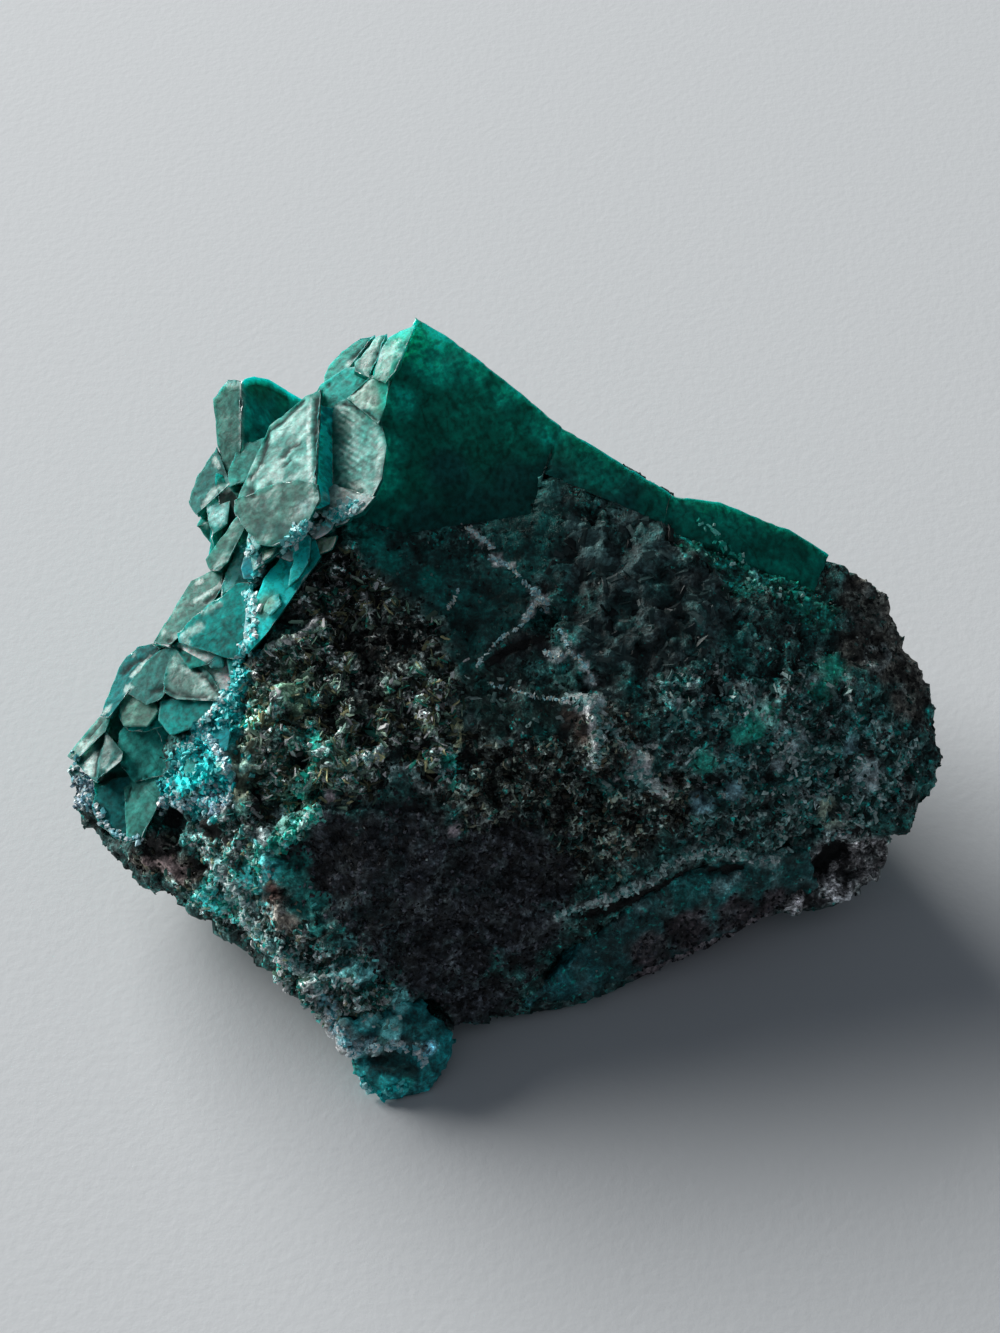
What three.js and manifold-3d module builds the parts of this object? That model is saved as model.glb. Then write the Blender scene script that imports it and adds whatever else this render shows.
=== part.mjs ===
// Dioptase hand specimen: stout green crystals and a translucent green slab grown on dark host rock.
// Millimetres, +Z up. The stone rests on a broken flat underneath. +X runs along its longest side, +Y is
// away from its rough front, and the origin is at the bottom centre of its bounding box.
import * as THREE from 'three';
import { ConvexGeometry } from 'three/addons/geometries/ConvexGeometry.js';
import { TessellateModifier } from 'three/addons/modifiers/TessellateModifier.js';
import { ImprovedNoise } from 'three/addons/math/ImprovedNoise.js';
import { mergeVertices } from 'three/addons/utils/BufferGeometryUtils.js';
import Module from 'manifold-3d';

const wasm = await Module();
wasm.setup();

// ---- driving dimensions ----
const seam = 0.3; // gap left where one mineral sits in another
const rockGrain = 4.1; // longest triangle edge on broken rock
const rockRough = 0.4; // how far broken rock departs from its flat blocks
const growthGrain = 2.6; // the same two for the green crusts
const growthRough = 0.25;
const flatEnough = 0.05; // unevenness small enough to be drawn flat
const crystalLength = 6; // from the face a crystal ends in to its buried root
const crystalLean = [0, -0.64, 0.77]; // the way that the crystals stand out from the rock
const rootLimit = 20.5; // how far back, along y, a root may reach
const crowding = 0.4; // how far the ends of inner crystals spread, to press against each other

// Corners shared by neighbouring blocks, as [x, y, z].
// Crest: from the summit, down to the right, round the blunt right-hand tip.
const summit = [-6.3, 20.9, 31];
const crest = {
  near: [-2.5, 18.7, 29.7],
  notch: [1, 16.5, 27.7],
  shoulder: [3.8, 15, 26.2],
  step: [4.6, 14, 25.2],
  mid: [8, 12.6, 24.2],
  low: [11.6, 11.5, 22.9],
  strip: [15, 11.4, 22.2],
  far: [19.9, 10.3, 20.6],
  bend: [22.8, 9.4, 19],
};
const tip = {
  top: [25.2, 8.4, 17.4],
  back: [27.9, 6.1, 15.2],
  side: [29.7, 3, 12.9],
  end: [30.7, -1.6, 10.2],
  under: [29.8, -3.6, 8.8],
  chin: [28.3, -6.1, 7.4],
};
// Ridge between the crystals on the left and the rough front.
const ridge = {
  top: [-8.6, 10.6, 25.2],
  upper: [-10.7, 8.7, 23.6],
  mid: [-14.8, 4, 21.3],
  low: [-17.8, 1.3, 19.2],
  elbow: [-18.2, -3.6, 16.6],
  prow: [-20.5, -7.1, 13.3],
  end: [-25.3, -7.1, 9],
};
// Front: the ledge across the middle, and the steeper rock below it.
const ledge = {
  left: [-17.2, -10.5, 13.4],
  mid: [-11.8, -10.6, 13.8],
  dip: [-4.4, -8.6, 15.3],
  centre: [-1.7, -7.1, 15.6],
  right: [6.4, -5.9, 15.2],
  high: [13.2, -2.5, 17.4],
};
const hem = {
  wingEnd: [-30.8, -1.5, 8.3],
  wingUnder: [-30.2, -3.7, 6.5],
  wingHeel: [-28, -6.1, 5],
  leftBack: [-26.5, -7.6, 4.4],
  left: [-22, -10.5, 4.8],
  leftFront: [-16.7, -15.2, 4.5],
  ankle: [-12.2, -19.5, 4.3],
  front: [-0.4, -17.5, 0.8],
  frontRight: [5.5, -15.8, 0],
  shelf: [10.1, -13.6, 0.5],
  shelfEnd: [15.1, -11.1, 1.2],
  nubFront: [17.9, -9.9, 2.3],
};

// ---- solids from corner points ----
const vector = (p) => new THREE.Vector3(...p);

function toManifold(geometry) {
  const bare = new THREE.BufferGeometry();
  bare.setAttribute('position', geometry.getAttribute('position').clone());
  if (geometry.index) bare.setIndex(geometry.index.clone());
  const merged = mergeVertices(bare, 1e-3);
  return new wasm.Manifold(new wasm.Mesh({
    numProp: 3,
    vertProperties: new Float32Array(merged.getAttribute('position').array),
    triVerts: new Uint32Array(merged.index.array),
  }));
}

function toGeometry(solid) {
  const mesh = solid.getMesh();
  const geometry = new THREE.BufferGeometry();
  geometry.setAttribute('position', new THREE.BufferAttribute(mesh.vertProperties, 3));
  geometry.setIndex(new THREE.BufferAttribute(mesh.triVerts, 1));
  return geometry;
}

const block = (points) => toManifold(new ConvexGeometry(points.map(vector)));
const joined = (solids) => solids.reduce((whole, next) => whole.add(next));

// Keeps the main body: drops slivers that a cut leaves loose, and fills voids sealed inside.
const larger = (a, b) => (b.volume() > a.volume() ? b : a);
const largest = (solid) => solid.decompose().reduce(larger);

// The same block with every face moved out by at least `by`.
function grownBlock(points, by) {
  const cube = [-by, by];
  const corners = points.flatMap(([x, y, z]) => cube.flatMap((dx) => cube.flatMap((dy) => cube.map(
    (dz) => [x + dx, y + dy, z + dz]))));
  return block(corners);
}

// ---- broken surfaces ----
const noise = new ImprovedNoise();
const broad = { waves: 0.17, height: 1.3 }; // waves per mm, and height as a share of the roughness
const tight = { waves: 0.45, height: 1 };
const offsets = [3.1, 17.7, 41.3]; // where the x, y and z pushes are read from the noise
const footing = [0.2, 2.2]; // heights between which the push grows from nothing to full

function unevenness(x, y, z, offset) {
  const [b, t] = [broad.waves, tight.waves];
  const coarse = noise.noise(x * b + offset, y * b, z * b);
  const fine = noise.noise(x * t, y * t + offset, z * t);
  return broad.height * coarse + tight.height * fine;
}

// Breaks long edges, then pushes each corner about; the flat underside at z = 0 stays flat.
function roughened(solid, grain, amount) {
  const broken = new TessellateModifier(grain, 8).modify(toGeometry(solid));
  const position = broken.getAttribute('position');
  for (let i = 0; i < position.count; i++) {
    const [x, y, z] = [position.getX(i), position.getY(i), position.getZ(i)];
    const push = amount * THREE.MathUtils.smoothstep(z, ...footing);
    position.setXYZ(i,
      x + push * unevenness(x, y, z, offsets[0]),
      y + push * unevenness(y, z, x, offsets[1]),
      z + push * unevenness(z, x, y, offsets[2]));
  }
  broken.deleteAttribute('normal');
  return toManifold(broken);
}

// ---- host rock ----
const rockBlocks = {
  upper: [
    [-6.5, 18, 27.5], [-3, 18.2, 28], [0.8, 16, 26.5], [3.6, 14.8, 25.2], crest.step, crest.mid,
    crest.low, [15, 11, 21], [-8.6, 10.2, 24], ridge.upper, ridge.mid, ridge.low, ridge.elbow,
    ledge.mid, ledge.dip, ledge.centre, ledge.right, ledge.high, [13.3, 4, 20], [-7.3, 7.5, 22],
    [1.7, 9.1, 22.4], [-12, 20.5, 14], [2, 20.5, 13], [-13, 19, 4], [6, 18, 4], [15, 12, 5],
    [-8, 17.5, 0], [8, 16, 0], [-18, 6, 2], [14, -4, 2],
  ],
  lower: [
    ledge.left, ledge.mid, ledge.dip, ledge.centre, ledge.right, [3.7, -10.4, 10.6],
    [-7.1, -14.2, 10.5], [-14.6, -16.3, 7.6], hem.leftFront, hem.ankle, [-4.5, -18.3, 4],
    [-0.4, -16.2, 6], hem.front, hem.frontRight, [-10, -17, 0], [-16, -8, 0], [8, 0, 0], [-10, 4, 4],
  ],
  apron: [
    ledge.centre, ledge.right, [17.4, -7.1, 12.2], [21, -7, 8.4], [13.4, -9, 8], [9.3, -10.4, 7],
    [4.4, -14.6, 4.8], [3.7, -10.4, 10.6], [14, -2, 15], [4, -12, 1], [18, -4, 4], [4, 0, 4],
  ],
  ankle: [
    [-4.5, -18.3, 4], hem.ankle, [-14.6, -16.3, 7.6], [-9.5, -19.4, 6], [-11.6, -20.6, 3.4],
    [-3.6, -19.2, 2], [-4, -14, 7], [-10, -14, 8], [-9, -20, 0], [-5, -19.5, 0], [-2, -15, 0],
    [-12, -14, 2],
  ],
  wing: [
    [-16, 9, 19.5], ridge.mid, ridge.low, ridge.elbow, ridge.prow, ledge.left, ridge.end, hem.wingEnd,
    hem.wingUnder, hem.wingHeel, hem.leftBack, hem.left, hem.leftFront, [-14.6, -16.3, 7.6],
    [-29.6, 0.2, 8.6], [-27.5, 4.2, 11.5], [-24.5, 8, 14], [-21.5, 11.5, 16.5], [-24, 7, 6],
    [-19, 13, 5], [-22, -2, 0], [-19, 9, 0], [-14, -10, 0], [-10, 10, 4],
  ],
  lobe: [
    [15, 11, 21], [19.6, 9.8, 19.6], [23.6, 9, 18.4], ...Object.values(tip), [23.5, -5.7, 10.4],
    [17.4, -7.1, 12.2], [23.8, -0.5, 15], [27.9, -1, 12.3], ledge.right, ledge.high, [13.3, 4, 20],
    [24, 6.5, 4], [15, 12, 3], [14, -4, 2], [23, -3, 3.5],
  ],
  nub: [
    [27.4, -5, 5.6], [26.4, -6.9, 4], [25.2, -8.5, 3], [22.3, -9.2, 2], hem.nubFront, [20, -5, 8],
    [25, -3, 7], [20, -4, 0.8], [24, -3, 2], [16, -8, 1], [18, 3, 5],
  ],
  shelf: [
    hem.frontRight, hem.shelf, hem.shelfEnd, hem.nubFront, [14, -8.5, 6], [6, -11, 5.5], [20, -1, 0],
    [16, 8, 0], [4, -4, 0],
  ],
  roughPatch: [
    [-11, 7.4, 23.4], [-14.4, 3.4, 21.6], [-17, 0.4, 19.6], [-17.2, -4, 17.2], [-14.6, -8.2, 15.6],
    [-8.6, -7, 16.6], [-3.4, -4.4, 17.6], [-2.6, 0.6, 20], [-5.4, 4.4, 22], [-8, 7, 23], [-10, 0, 14],
  ],
  backBulge: [
    [-11.5, 20.6, 16], [-4, 22.4, 18], [3, 21.6, 14], [-10, 21.8, 8], [4, 22.9, 9], [-3, 23.8, 10.5],
    [0, 17, 20], [-8, 17, 22], [-11, 18, 4], [5, 19, 4],
  ],
  backRight: [
    [8, 17, 14.5], [16, 15, 13], [22, 12, 10], [12, 18.5, 8], [20, 13, 5], [8, 16, 5], [14, 11, 18],
    [10, 12, 3], [18, 10, 3],
  ],
  backLeft: [
    [-20, 14, 13], [-15, 17.5, 14], [-23.6, 9.6, 9.5], [-18, 16.5, 7], [-13, 19, 8], [-20, 12, 3],
    [-14, 12, 15], [-12, 15, 3],
  ],
};

const hollows = [ // small vugs, as [x, y, z, radius]
  [26.6, 4.2, 15.9, 1.1], [2.6, 2.8, 19.6, 1.2], [-23, -7.6, 10.2, 1.4], [-13.6, -6.4, 15.8, 1.3],
];

function vug([x, y, z, radius]) {
  const ball = new THREE.IcosahedronGeometry(radius, 1);
  ball.deleteAttribute('normal');
  ball.deleteAttribute('uv');
  ball.translate(x, y, z);
  return toManifold(ball);
}

// ---- dioptase ----
// A crystal is given by the outline of the flat face it ends in; its sides run back from there to its root.
const crystals = {
  summitBar: [
    [-6.3, 20, 31], [-7.4, 20, 30.5], [-8.2, 19.7, 30.1], [-8.7, 18.9, 29.7], [-9.3, 16.8, 29.1],
    [-8.3, 15.9, 29.4], [-7.5, 16.8, 29.9],
  ],
  summitStep: [
    [-8.8, 13.4, 28.3], [-10.7, 15.9, 28], [-9.3, 16.9, 28.8], [-8.3, 16.1, 29.2], [-8.5, 14.7, 28.7],
  ],
  innerBar: [
    [-8.3, 20.6, 29.7], [-9, 20.6, 29.3], [-10.6, 19, 28.4], [-10.6, 18.3, 28.3], [-9.5, 17.2, 28.7],
    [-9, 18.4, 29.1],
  ],
  outerBar: [
    [-12.7, 18.7, 26.6], [-12.1, 18.8, 26.9], [-11.3, 19.2, 27.4], [-9.2, 21.6, 28.6],
    [-10.3, 22, 28.1], [-11.2, 21.6, 27.6], [-12, 21, 27.1], [-12.5, 20.4, 26.8], [-12.8, 19.5, 26.6],
  ],
  saddle: [
    [-13.2, 17.1, 26.2], [-11.4, 16.5, 26.9], [-10.7, 16.7, 27.2], [-9.5, 17.9, 28],
    [-10.6, 18.9, 27.7], [-11.3, 19.1, 27.4], [-12.7, 18.5, 26.7], [-13.2, 18, 26.4],
  ],
  stripedPlate: [
    [-11.1, 16.4, 27.1], [-11.8, 16.2, 26.7], [-12.1, 14.2, 26.3], [-11.6, 9.1, 25.8],
    [-10.4, 7.7, 26.1], [-9.3, 7.6, 26.7], [-8.6, 9.2, 27.2], [-8.5, 11.6, 27.6], [-8.9, 14, 27.8],
    [-9.9, 15.6, 27.5],
  ],
  stripedFoot: [
    [-13.1, 8.5, 25.4], [-12.5, 7.5, 25.5], [-11.2, 6.7, 25.9], [-10, 6.7, 26.4], [-9.2, 7.4, 26.9],
    [-11.6, 8.9, 26.2],
  ],
  palePlate: [
    [-13, 16.2, 28.2], [-13, 7.7, 27.7], [-17.7, 8, 25.5], [-18.3, 8.7, 25.3], [-16.3, 14.2, 26.6],
    [-14, 15.9, 27.7],
  ],
  paleFoot: [
    [-18.3, 8.3, 25.7], [-18.1, 7.2, 25.5], [-16.5, 4.7, 25.7], [-15.5, 4.2, 26], [-13.8, 4.6, 26.8],
    [-12.9, 6.5, 27.6], [-13, 7.6, 27.7], [-14.2, 8.2, 27.3], [-15.3, 8.4, 26.9],
  ],
  tealRiser: [
    [-12.9, 6.4, 27.1], [-11.6, 9.1, 25.3], [-11.8, 16.2, 26.2], [-13, 15.3, 27.7], [-13.3, 9.7, 27.2],
  ],
  twinLeft: [
    [-19.5, 14.6, 21], [-20.1, 15.9, 21.3], [-20.6, 17.4, 21.8], [-21, 20.6, 23.4], [-19.9, 21.2, 24.7],
    [-18.9, 20.6, 25.2], [-18.8, 16.3, 22.6],
  ],
  twinRight: [
    [-18.9, 20.6, 25.2], [-18.8, 16.3, 22.6], [-17.2, 18.1, 21.6], [-14.8, 22.7, 21.2],
    [-17.1, 22.1, 23.8], [-18, 21.5, 24.7],
  ],
  twinLow: [
    [-19.3, 13.9, 21.7], [-18.3, 14, 22.2], [-17, 15.5, 23.1], [-17.1, 16.4, 23.3], [-18.8, 16.4, 22.5],
    [-19.4, 14.9, 21.9],
  ],
  spurA: [
    [-20.7, 17.5, 21.6], [-19.5, 14, 21.4], [-22, 12.5, 19.8], [-22.7, 13.9, 19.7], [-22.1, 15.6, 20.4],
  ],
  spurB: [
    [-20.8, 14.4, 20.5], [-21.3, 13.7, 20.2], [-21.1, 11.9, 20.1], [-20.6, 10.3, 20.1],
    [-19.6, 10.9, 20.6], [-19.5, 12.5, 20.8], [-19.6, 14.3, 21],
  ],
  spurSide: [
    [-19.6, 14.5, 20.8], [-19.1, 14.1, 20.5], [-19, 12.7, 19.9], [-19.3, 11.2, 19.4],
    [-20.3, 10.1, 19.3], [-20.6, 10.8, 19.7],
  ],
  sliverInner: [
    [-18, 10.1, 22.4], [-18.8, 9.9, 22], [-20.5, 7.6, 20.8], [-20.3, 6.7, 20.8], [-19.7, 6.5, 21],
    [-19.2, 7.1, 21.3], [-18.4, 8.8, 22],
  ],
  nestLeft: [
    [-18, 10, 21.9], [-19.4, 5.9, 20], [-19.6, 4.9, 19.6], [-19.2, 4.6, 19.6], [-17.7, 5.9, 20.4],
    [-17.2, 7.1, 21], [-16.9, 8.4, 21.5],
  ],
  nestCrystal: [
    [-17, 4.8, 22.9], [-15.4, 5.5, 23.7], [-15.3, 6.2, 23.9], [-16.7, 6.8, 23.2], [-17.1, 5.7, 22.9],
  ],
  glossyStripe: [
    [-13.2, 6.1, 24], [-12.9, 4.6, 23.7], [-16.1, 0.8, 21], [-17.3, -0.2, 20.1], [-16.9, 2.8, 21.3],
    [-16.2, 4.3, 22.1], [-14.1, 6.7, 23.8],
  ],
  tealCrystal: [
    [-22.2, 2.5, 17.8], [-18.7, 0.4, 18.7], [-17.9, 0.7, 19.1], [-17.6, 3.9, 20.4], [-17.9, 5, 20.6],
    [-18.7, 5.1, 20.2], [-21.3, 3.8, 18.7], [-22.4, 3.1, 18],
  ],
  sliverOuter: [
    [-20.2, 8.2, 19], [-19.8, 7.6, 19.2], [-19.7, 6.1, 19.2], [-20.7, 4.6, 18.6], [-23.2, 2.6, 17.2],
    [-24.6, 3.3, 16.6], [-22.1, 7.8, 18],
  ],
  rimSliver: [
    [-24.8, 4.1, 15.6], [-24.1, 3.4, 15.9], [-27.6, -1.1, 13.7], [-28.2, -0.6, 13.3],
    [-27.2, 3.1, 14.2], [-26.7, 3.8, 14.5], [-25.9, 4.3, 15],
  ],
  fanCrown: [
    [-22.8, 2.7, 16.9], [-21.6, 0.9, 17.2], [-20.6, 0.8, 17.6], [-19.9, 1.1, 17.9], [-20.7, 2.1, 17.7],
    [-21.9, 2.9, 17.3],
  ],
  fanRight: [
    [-22.6, 2.6, 16.7], [-20, 1.6, 17.4], [-19.2, 0.8, 17.5], [-19, -0.7, 17.3], [-19.3, -2, 17],
  ],
  fanMiddle: [
    [-22.8, 2.7, 16.9], [-23.2, 0.9, 16.3], [-23.3, -0.4, 16], [-22.4, -1, 16.2], [-19.3, -2.2, 17.1],
    [-20.6, -0.1, 17.1],
  ],
  fanLeft: [
    [-22.8, 2.7, 16.9], [-24.1, 2.9, 16.2], [-25.1, 2.4, 15.6], [-26.1, 1.4, 14.8], [-26.4, 0.6, 14.4],
    [-24.8, -0.9, 14.9], [-23.8, -0.9, 15.5], [-23.3, -0.3, 15.9],
  ],
  shelfTeal: [
    [-24.1, -1.3, 13.5], [-23.6, -2.3, 12.8], [-22.8, -2.6, 12.7], [-19.6, -0.5, 14.7],
    [-22.6, 0, 14.7], [-24.1, -0.2, 14.3],
  ],
  paleShoulder: [
    [-26.6, 1.4, 13.5], [-26.7, -0.3, 13], [-26.1, -1.3, 13], [-25.1, -1.7, 13.4], [-24, -1.8, 13.9],
    [-24.1, -0.2, 14.3],
  ],
  darkPlate: [
    [-26.7, -1.1, 11.8], [-26.8, -1.9, 11.4], [-26.5, -3, 11], [-25.7, -4, 10.8], [-23, -4.2, 11.8],
    [-22.8, -3.3, 12.3], [-23.3, -2.2, 12.7], [-24.2, -1, 12.9], [-26.3, -0.7, 12.2],
  ],
  groove: [
    [-26.9, -1.6, 10.9], [-26.8, -0.7, 11.3], [-26.8, 2.2, 12.6], [-27.5, 1.6, 12.2],
    [-28.9, -0.6, 10.9],
  ],
  lowPlate: [
    [-26, -8.2, 9.3], [-25.1, -8.2, 9.7], [-23, -4, 11.6], [-24.7, -3.8, 11], [-26.4, -4, 10.3],
  ],
  lowSide: [
    [-27.5, -4, 10], [-28.3, -4.4, 9.5], [-28.5, -5.3, 9], [-28, -6.3, 8.7], [-27.1, -7.2, 8.5],
    [-26.2, -7.7, 8.6], [-26.4, -4.1, 10.3],
  ],
  lowHollow: [
    [-28.3, -4.3, 9.5], [-26.5, -3.6, 9.7], [-25.9, -3.3, 9.8], [-26.7, -2.1, 10.6], [-28.5, -3.6, 9.9],
  ],
  endPlate: [
    [-28.4, -4.2, 10.7], [-26.7, -3.3, 11.7], [-26.6, -2.7, 11.9], [-28, -0.7, 11.7], [-28.4, -2.9, 11],
  ],
  endLeaf: [[-28, -0.5, 11.5], [-29.8, -0.9, 10.4], [-29.9, -2.1, 10.2], [-28.5, -4.1, 10.7]],
  rimLeaf: [
    [-30.8, -1.6, 10.1], [-30.2, -2.4, 10.4], [-28, -0.8, 11.9], [-27.8, 0.1, 12.1], [-28.6, 0.7, 11.6],
    [-30.1, -0.7, 10.6],
  ],
};

// The emerald slab that makes the summit, and the green strip along the crest.
const slabBlocks = [
  [
    summit, crest.near, crest.notch, crest.shoulder, [1.7, 9.4, 23.1], [-7, 7.8, 22.9], ridge.upper,
    ridge.top, [-8.7, 14.4, 27.8], [-6, 21.3, 28], [3.5, 17, 22], [-6, 13, 20], [0, 11, 19],
  ],
  [
    crest.shoulder, crest.step, crest.mid, crest.low, [11, 9.6, 21.9], [6.5, 10.6, 23.6],
    [2.6, 12, 24.5], [4, 16, 20], [10, 14, 17],
  ],
  [
    crest.low, crest.strip, crest.far, crest.bend, [21.6, 6.8, 17.8], [14.4, 8.6, 20.8],
    [10.5, 9.4, 21.6], [11, 14, 17], [15, 14.5, 16], [22, 12, 14],
  ],
];

// The massive green crust that the crystals on the left stand on.
const crustBlocks = [
  [
    [-8.5, 17.5, 27], [-12, 17.5, 25.4], [-9, 13, 25], [-13.5, 13, 24.6], [-10.5, 10, 23.4],
    [-14.5, 6, 21.4], [-18.6, 11, 20], [-17.5, 4.5, 18.8], [-16.5, 15, 20.5], [-11, 11, 19],
    [-14, 9, 16],
  ],
  [
    [-16, 15, 20], [-20.6, 15, 21.5], [-20, 10.5, 19.5], [-16.5, 10, 20.5], [-17, 12, 16],
    [-21.2, 10.4, 17],
  ],
  [
    [-15, 5, 20.4], [-19, 10, 18.4], [-22.4, 6.5, 14.6], [-18.4, 1, 17.2], [-24.4, 4.4, 12.4],
    [-20.6, -1.4, 14], [-17, 6, 14], [-21.5, 9.5, 13],
  ],
  [
    [-20.4, -0.8, 14.2], [-24.4, 4.2, 12.2], [-28.4, 0.4, 8.6], [-27, -4.2, 7.8], [-22, -4.6, 11],
    [-23, 0, 7],
  ],
];

// These stand against the sky, so they keep their own outline.
const outermost = new Set([
  'summitBar', 'innerBar', 'outerBar', 'twinLeft', 'twinRight', 'spurA', 'spurB', 'sliverOuter', 'rimSliver',
  'fanLeft', 'endPlate', 'rimLeaf',
]);

function crystalPoints([name, outline]) {
  const corners = outline.map(vector);
  const centre = corners.reduce((sum, p) => sum.add(p), new THREE.Vector3()).divideScalar(corners.length);
  const arms = corners.map((p) => p.clone().sub(centre));
  const normal = new THREE.Vector3();
  arms.forEach((arm, i) => normal.add(arm.clone().cross(arms[(i + 1) % arms.length])));
  const plane = new THREE.Plane().setFromNormalAndCoplanarPoint(normal.normalize(), centre);
  const spread = outermost.has(name) ? 0 : crowding;
  const spreadCorners = corners.map((p, i) => p.clone().addScaledVector(arms[i].normalize(), spread));
  const face = spreadCorners.map((p) => plane.projectPoint(p, new THREE.Vector3()));
  const root = face.map((p) => p.clone().addScaledVector(vector(crystalLean), -crystalLength));
  root.forEach((p, i) => p.setY(Math.min(p.y, Math.max(face[i].y, rootLimit))));
  return [...face, ...root].map((p) => p.toArray());
}

// Stout prisms on the far side: six sides and a blunt tip of three faces that dip on every other edge.
const prismSides = 6;
const tipDip = 0.5; // drop of the tip's low corners, as a share of the prism's width
const prisms = [ // base centre, direction it leans, width, length
  { at: [-14, 17.5, 17], lean: [-0.5, 0.75, 0.45], width: 5, length: 5.2 },
  { at: [-10, 19.5, 19], lean: [-0.15, 0.9, 0.35], width: 4.2, length: 4 },
  { at: [-18.5, 14.5, 14.5], lean: [-0.75, 0.6, 0.35], width: 4.4, length: 4.4 },
  { at: [-15.5, 17.5, 11], lean: [-0.45, 0.85, 0.1], width: 4.6, length: 4.2 },
];

function prismPoints({ at, lean, width, length }) {
  const upright = new THREE.Vector3(0, 0, 1);
  const stand = new THREE.Quaternion().setFromUnitVectors(upright, vector(lean).normalize());
  const points = [new THREE.Vector3(0, 0, length)];
  for (let i = 0; i < prismSides; i++) {
    const angle = (2 * Math.PI * i) / prismSides;
    const side = [Math.cos(angle) * width / 2, Math.sin(angle) * width / 2];
    const dip = width * (i % 2 ? tipDip : tipDip / 3);
    points.push(new THREE.Vector3(...side, length - dip), new THREE.Vector3(...side, -width));
  }
  return points.map((p) => p.applyQuaternion(stand).add(vector(at)).toArray());
}

// ---- green growths low on the front ----
const veinPoints = [
  [4.6, -14.9, 4.7], [9.3, -10.9, 6.9], [13.4, -9.5, 7.9], [21.2, -7.9, 7.5], [21.8, -8.8, 4],
  [18, -10.4, 3.4], [12, -13, 2.6], [6, -15.9, 1], [0.8, -17.3, 1.4], [7, -9, 4], [19, -6, 5],
];
const footPoints = [
  [-10.9, -21.2, 3], [-9.9, -23, 0.7], [-7.9, -23.8, 0], [-5.2, -23, 0], [-4.2, -21.6, 1],
  [-3.4, -19.6, 1.6], [-4.6, -19.4, 4], [-7.8, -20.2, 5], [-11.2, -20.2, 4.8], [-8, -15, 1.5],
  [-8, -14, 5],
];

// ---- the whole stone ----
const crystalSets = [
  ...slabBlocks, ...crustBlocks, ...Object.entries(crystals).map(crystalPoints), ...prisms.map(prismPoints),
];
const vein = roughened(block(veinPoints), growthGrain, growthRough);
const foot = roughened(block(footPoints), growthGrain, growthRough);
const crystalCluster = largest(joined(crystalSets.map(block)));
let rock = roughened(joined(Object.values(rockBlocks).map(block)), rockGrain, rockRough);
for (const hollow of hollows) rock = rock.subtract(vug(hollow));
for (const points of [...crystalSets, veinPoints, footPoints]) {
  rock = rock.subtract(grownBlock(points, seam));
}
rock = largest(rock.simplify(flatEnough));

const stone = new THREE.Group();

function addPiece(name, solid, color, roughness) {
  const material = new THREE.MeshStandardMaterial({ color, roughness, flatShading: true });
  const mesh = new THREE.Mesh(toGeometry(solid), material);
  mesh.name = name;
  stone.add(mesh);
}

addPiece('host_rock', rock, 0x2b2a29, 0.85);
addPiece('dioptase_crystals', crystalCluster, 0x0a6b5c, 0.2);
addPiece('lower_vein', vein, 0x12403f, 0.4);
addPiece('foot_crystal', foot, 0x12504f, 0.35);

export default stone;
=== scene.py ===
import math
import bpy
import bmesh
import numpy as np
from mathutils import Matrix, Vector, noise
from mathutils.bvhtree import BVHTree
from mathutils.kdtree import KDTree


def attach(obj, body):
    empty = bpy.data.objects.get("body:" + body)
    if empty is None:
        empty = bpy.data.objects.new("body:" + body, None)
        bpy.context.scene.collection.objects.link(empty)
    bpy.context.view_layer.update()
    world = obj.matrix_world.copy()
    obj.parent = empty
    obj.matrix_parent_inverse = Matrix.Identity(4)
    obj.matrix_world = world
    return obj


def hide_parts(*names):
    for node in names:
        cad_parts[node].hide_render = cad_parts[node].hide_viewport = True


# Dioptase hand specimen: dark host rock with stout green crystals, a green slab along its crest,
# a teal vein low on the front and a teal crystal lump at its foot.

mm = 0.001
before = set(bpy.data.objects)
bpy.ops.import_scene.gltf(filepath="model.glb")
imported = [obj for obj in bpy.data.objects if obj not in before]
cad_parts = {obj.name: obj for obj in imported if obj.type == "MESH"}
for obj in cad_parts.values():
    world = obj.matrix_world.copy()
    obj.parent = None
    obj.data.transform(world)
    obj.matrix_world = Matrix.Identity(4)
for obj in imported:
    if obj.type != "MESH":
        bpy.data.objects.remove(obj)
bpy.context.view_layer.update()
print("frame loaded:", ", ".join(sorted(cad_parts)))

cameraSetup = {
    "lens": 70.0,            # mm, on a 36 mm long side
    "sensor": 36.0,
    "distance": 185.0 * mm,  # from the point it looks at
    "elevation": 50.0,       # degrees above the table
    "aim": Vector((-0.4, 5.0, 12.0)) * mm,
    "pixels": (1000, 1333),  # the picture size that spots on the stone are given in
}
tilt = math.radians(cameraSetup["elevation"])
ahead = Vector((0, math.cos(tilt), -math.sin(tilt)))
upward = Vector((0, math.sin(tilt), math.cos(tilt)))
rightward = Vector((1, 0, 0))
eye = cameraSetup["aim"] - ahead * cameraSetup["distance"]


def addObject(name, data):
    item = bpy.data.objects.new(name, data)
    bpy.context.collection.objects.link(item)
    return item


def addCamera():
    data = bpy.data.cameras.new("camera")
    data.lens = cameraSetup["lens"]
    data.sensor_width = cameraSetup["sensor"]
    data.clip_start = 0.01
    camera = addObject("camera", data)
    camera.location = eye
    camera.rotation_euler = Matrix((rightward, upward, -ahead)).transposed().to_euler()
    bpy.context.scene.camera = camera


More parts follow.
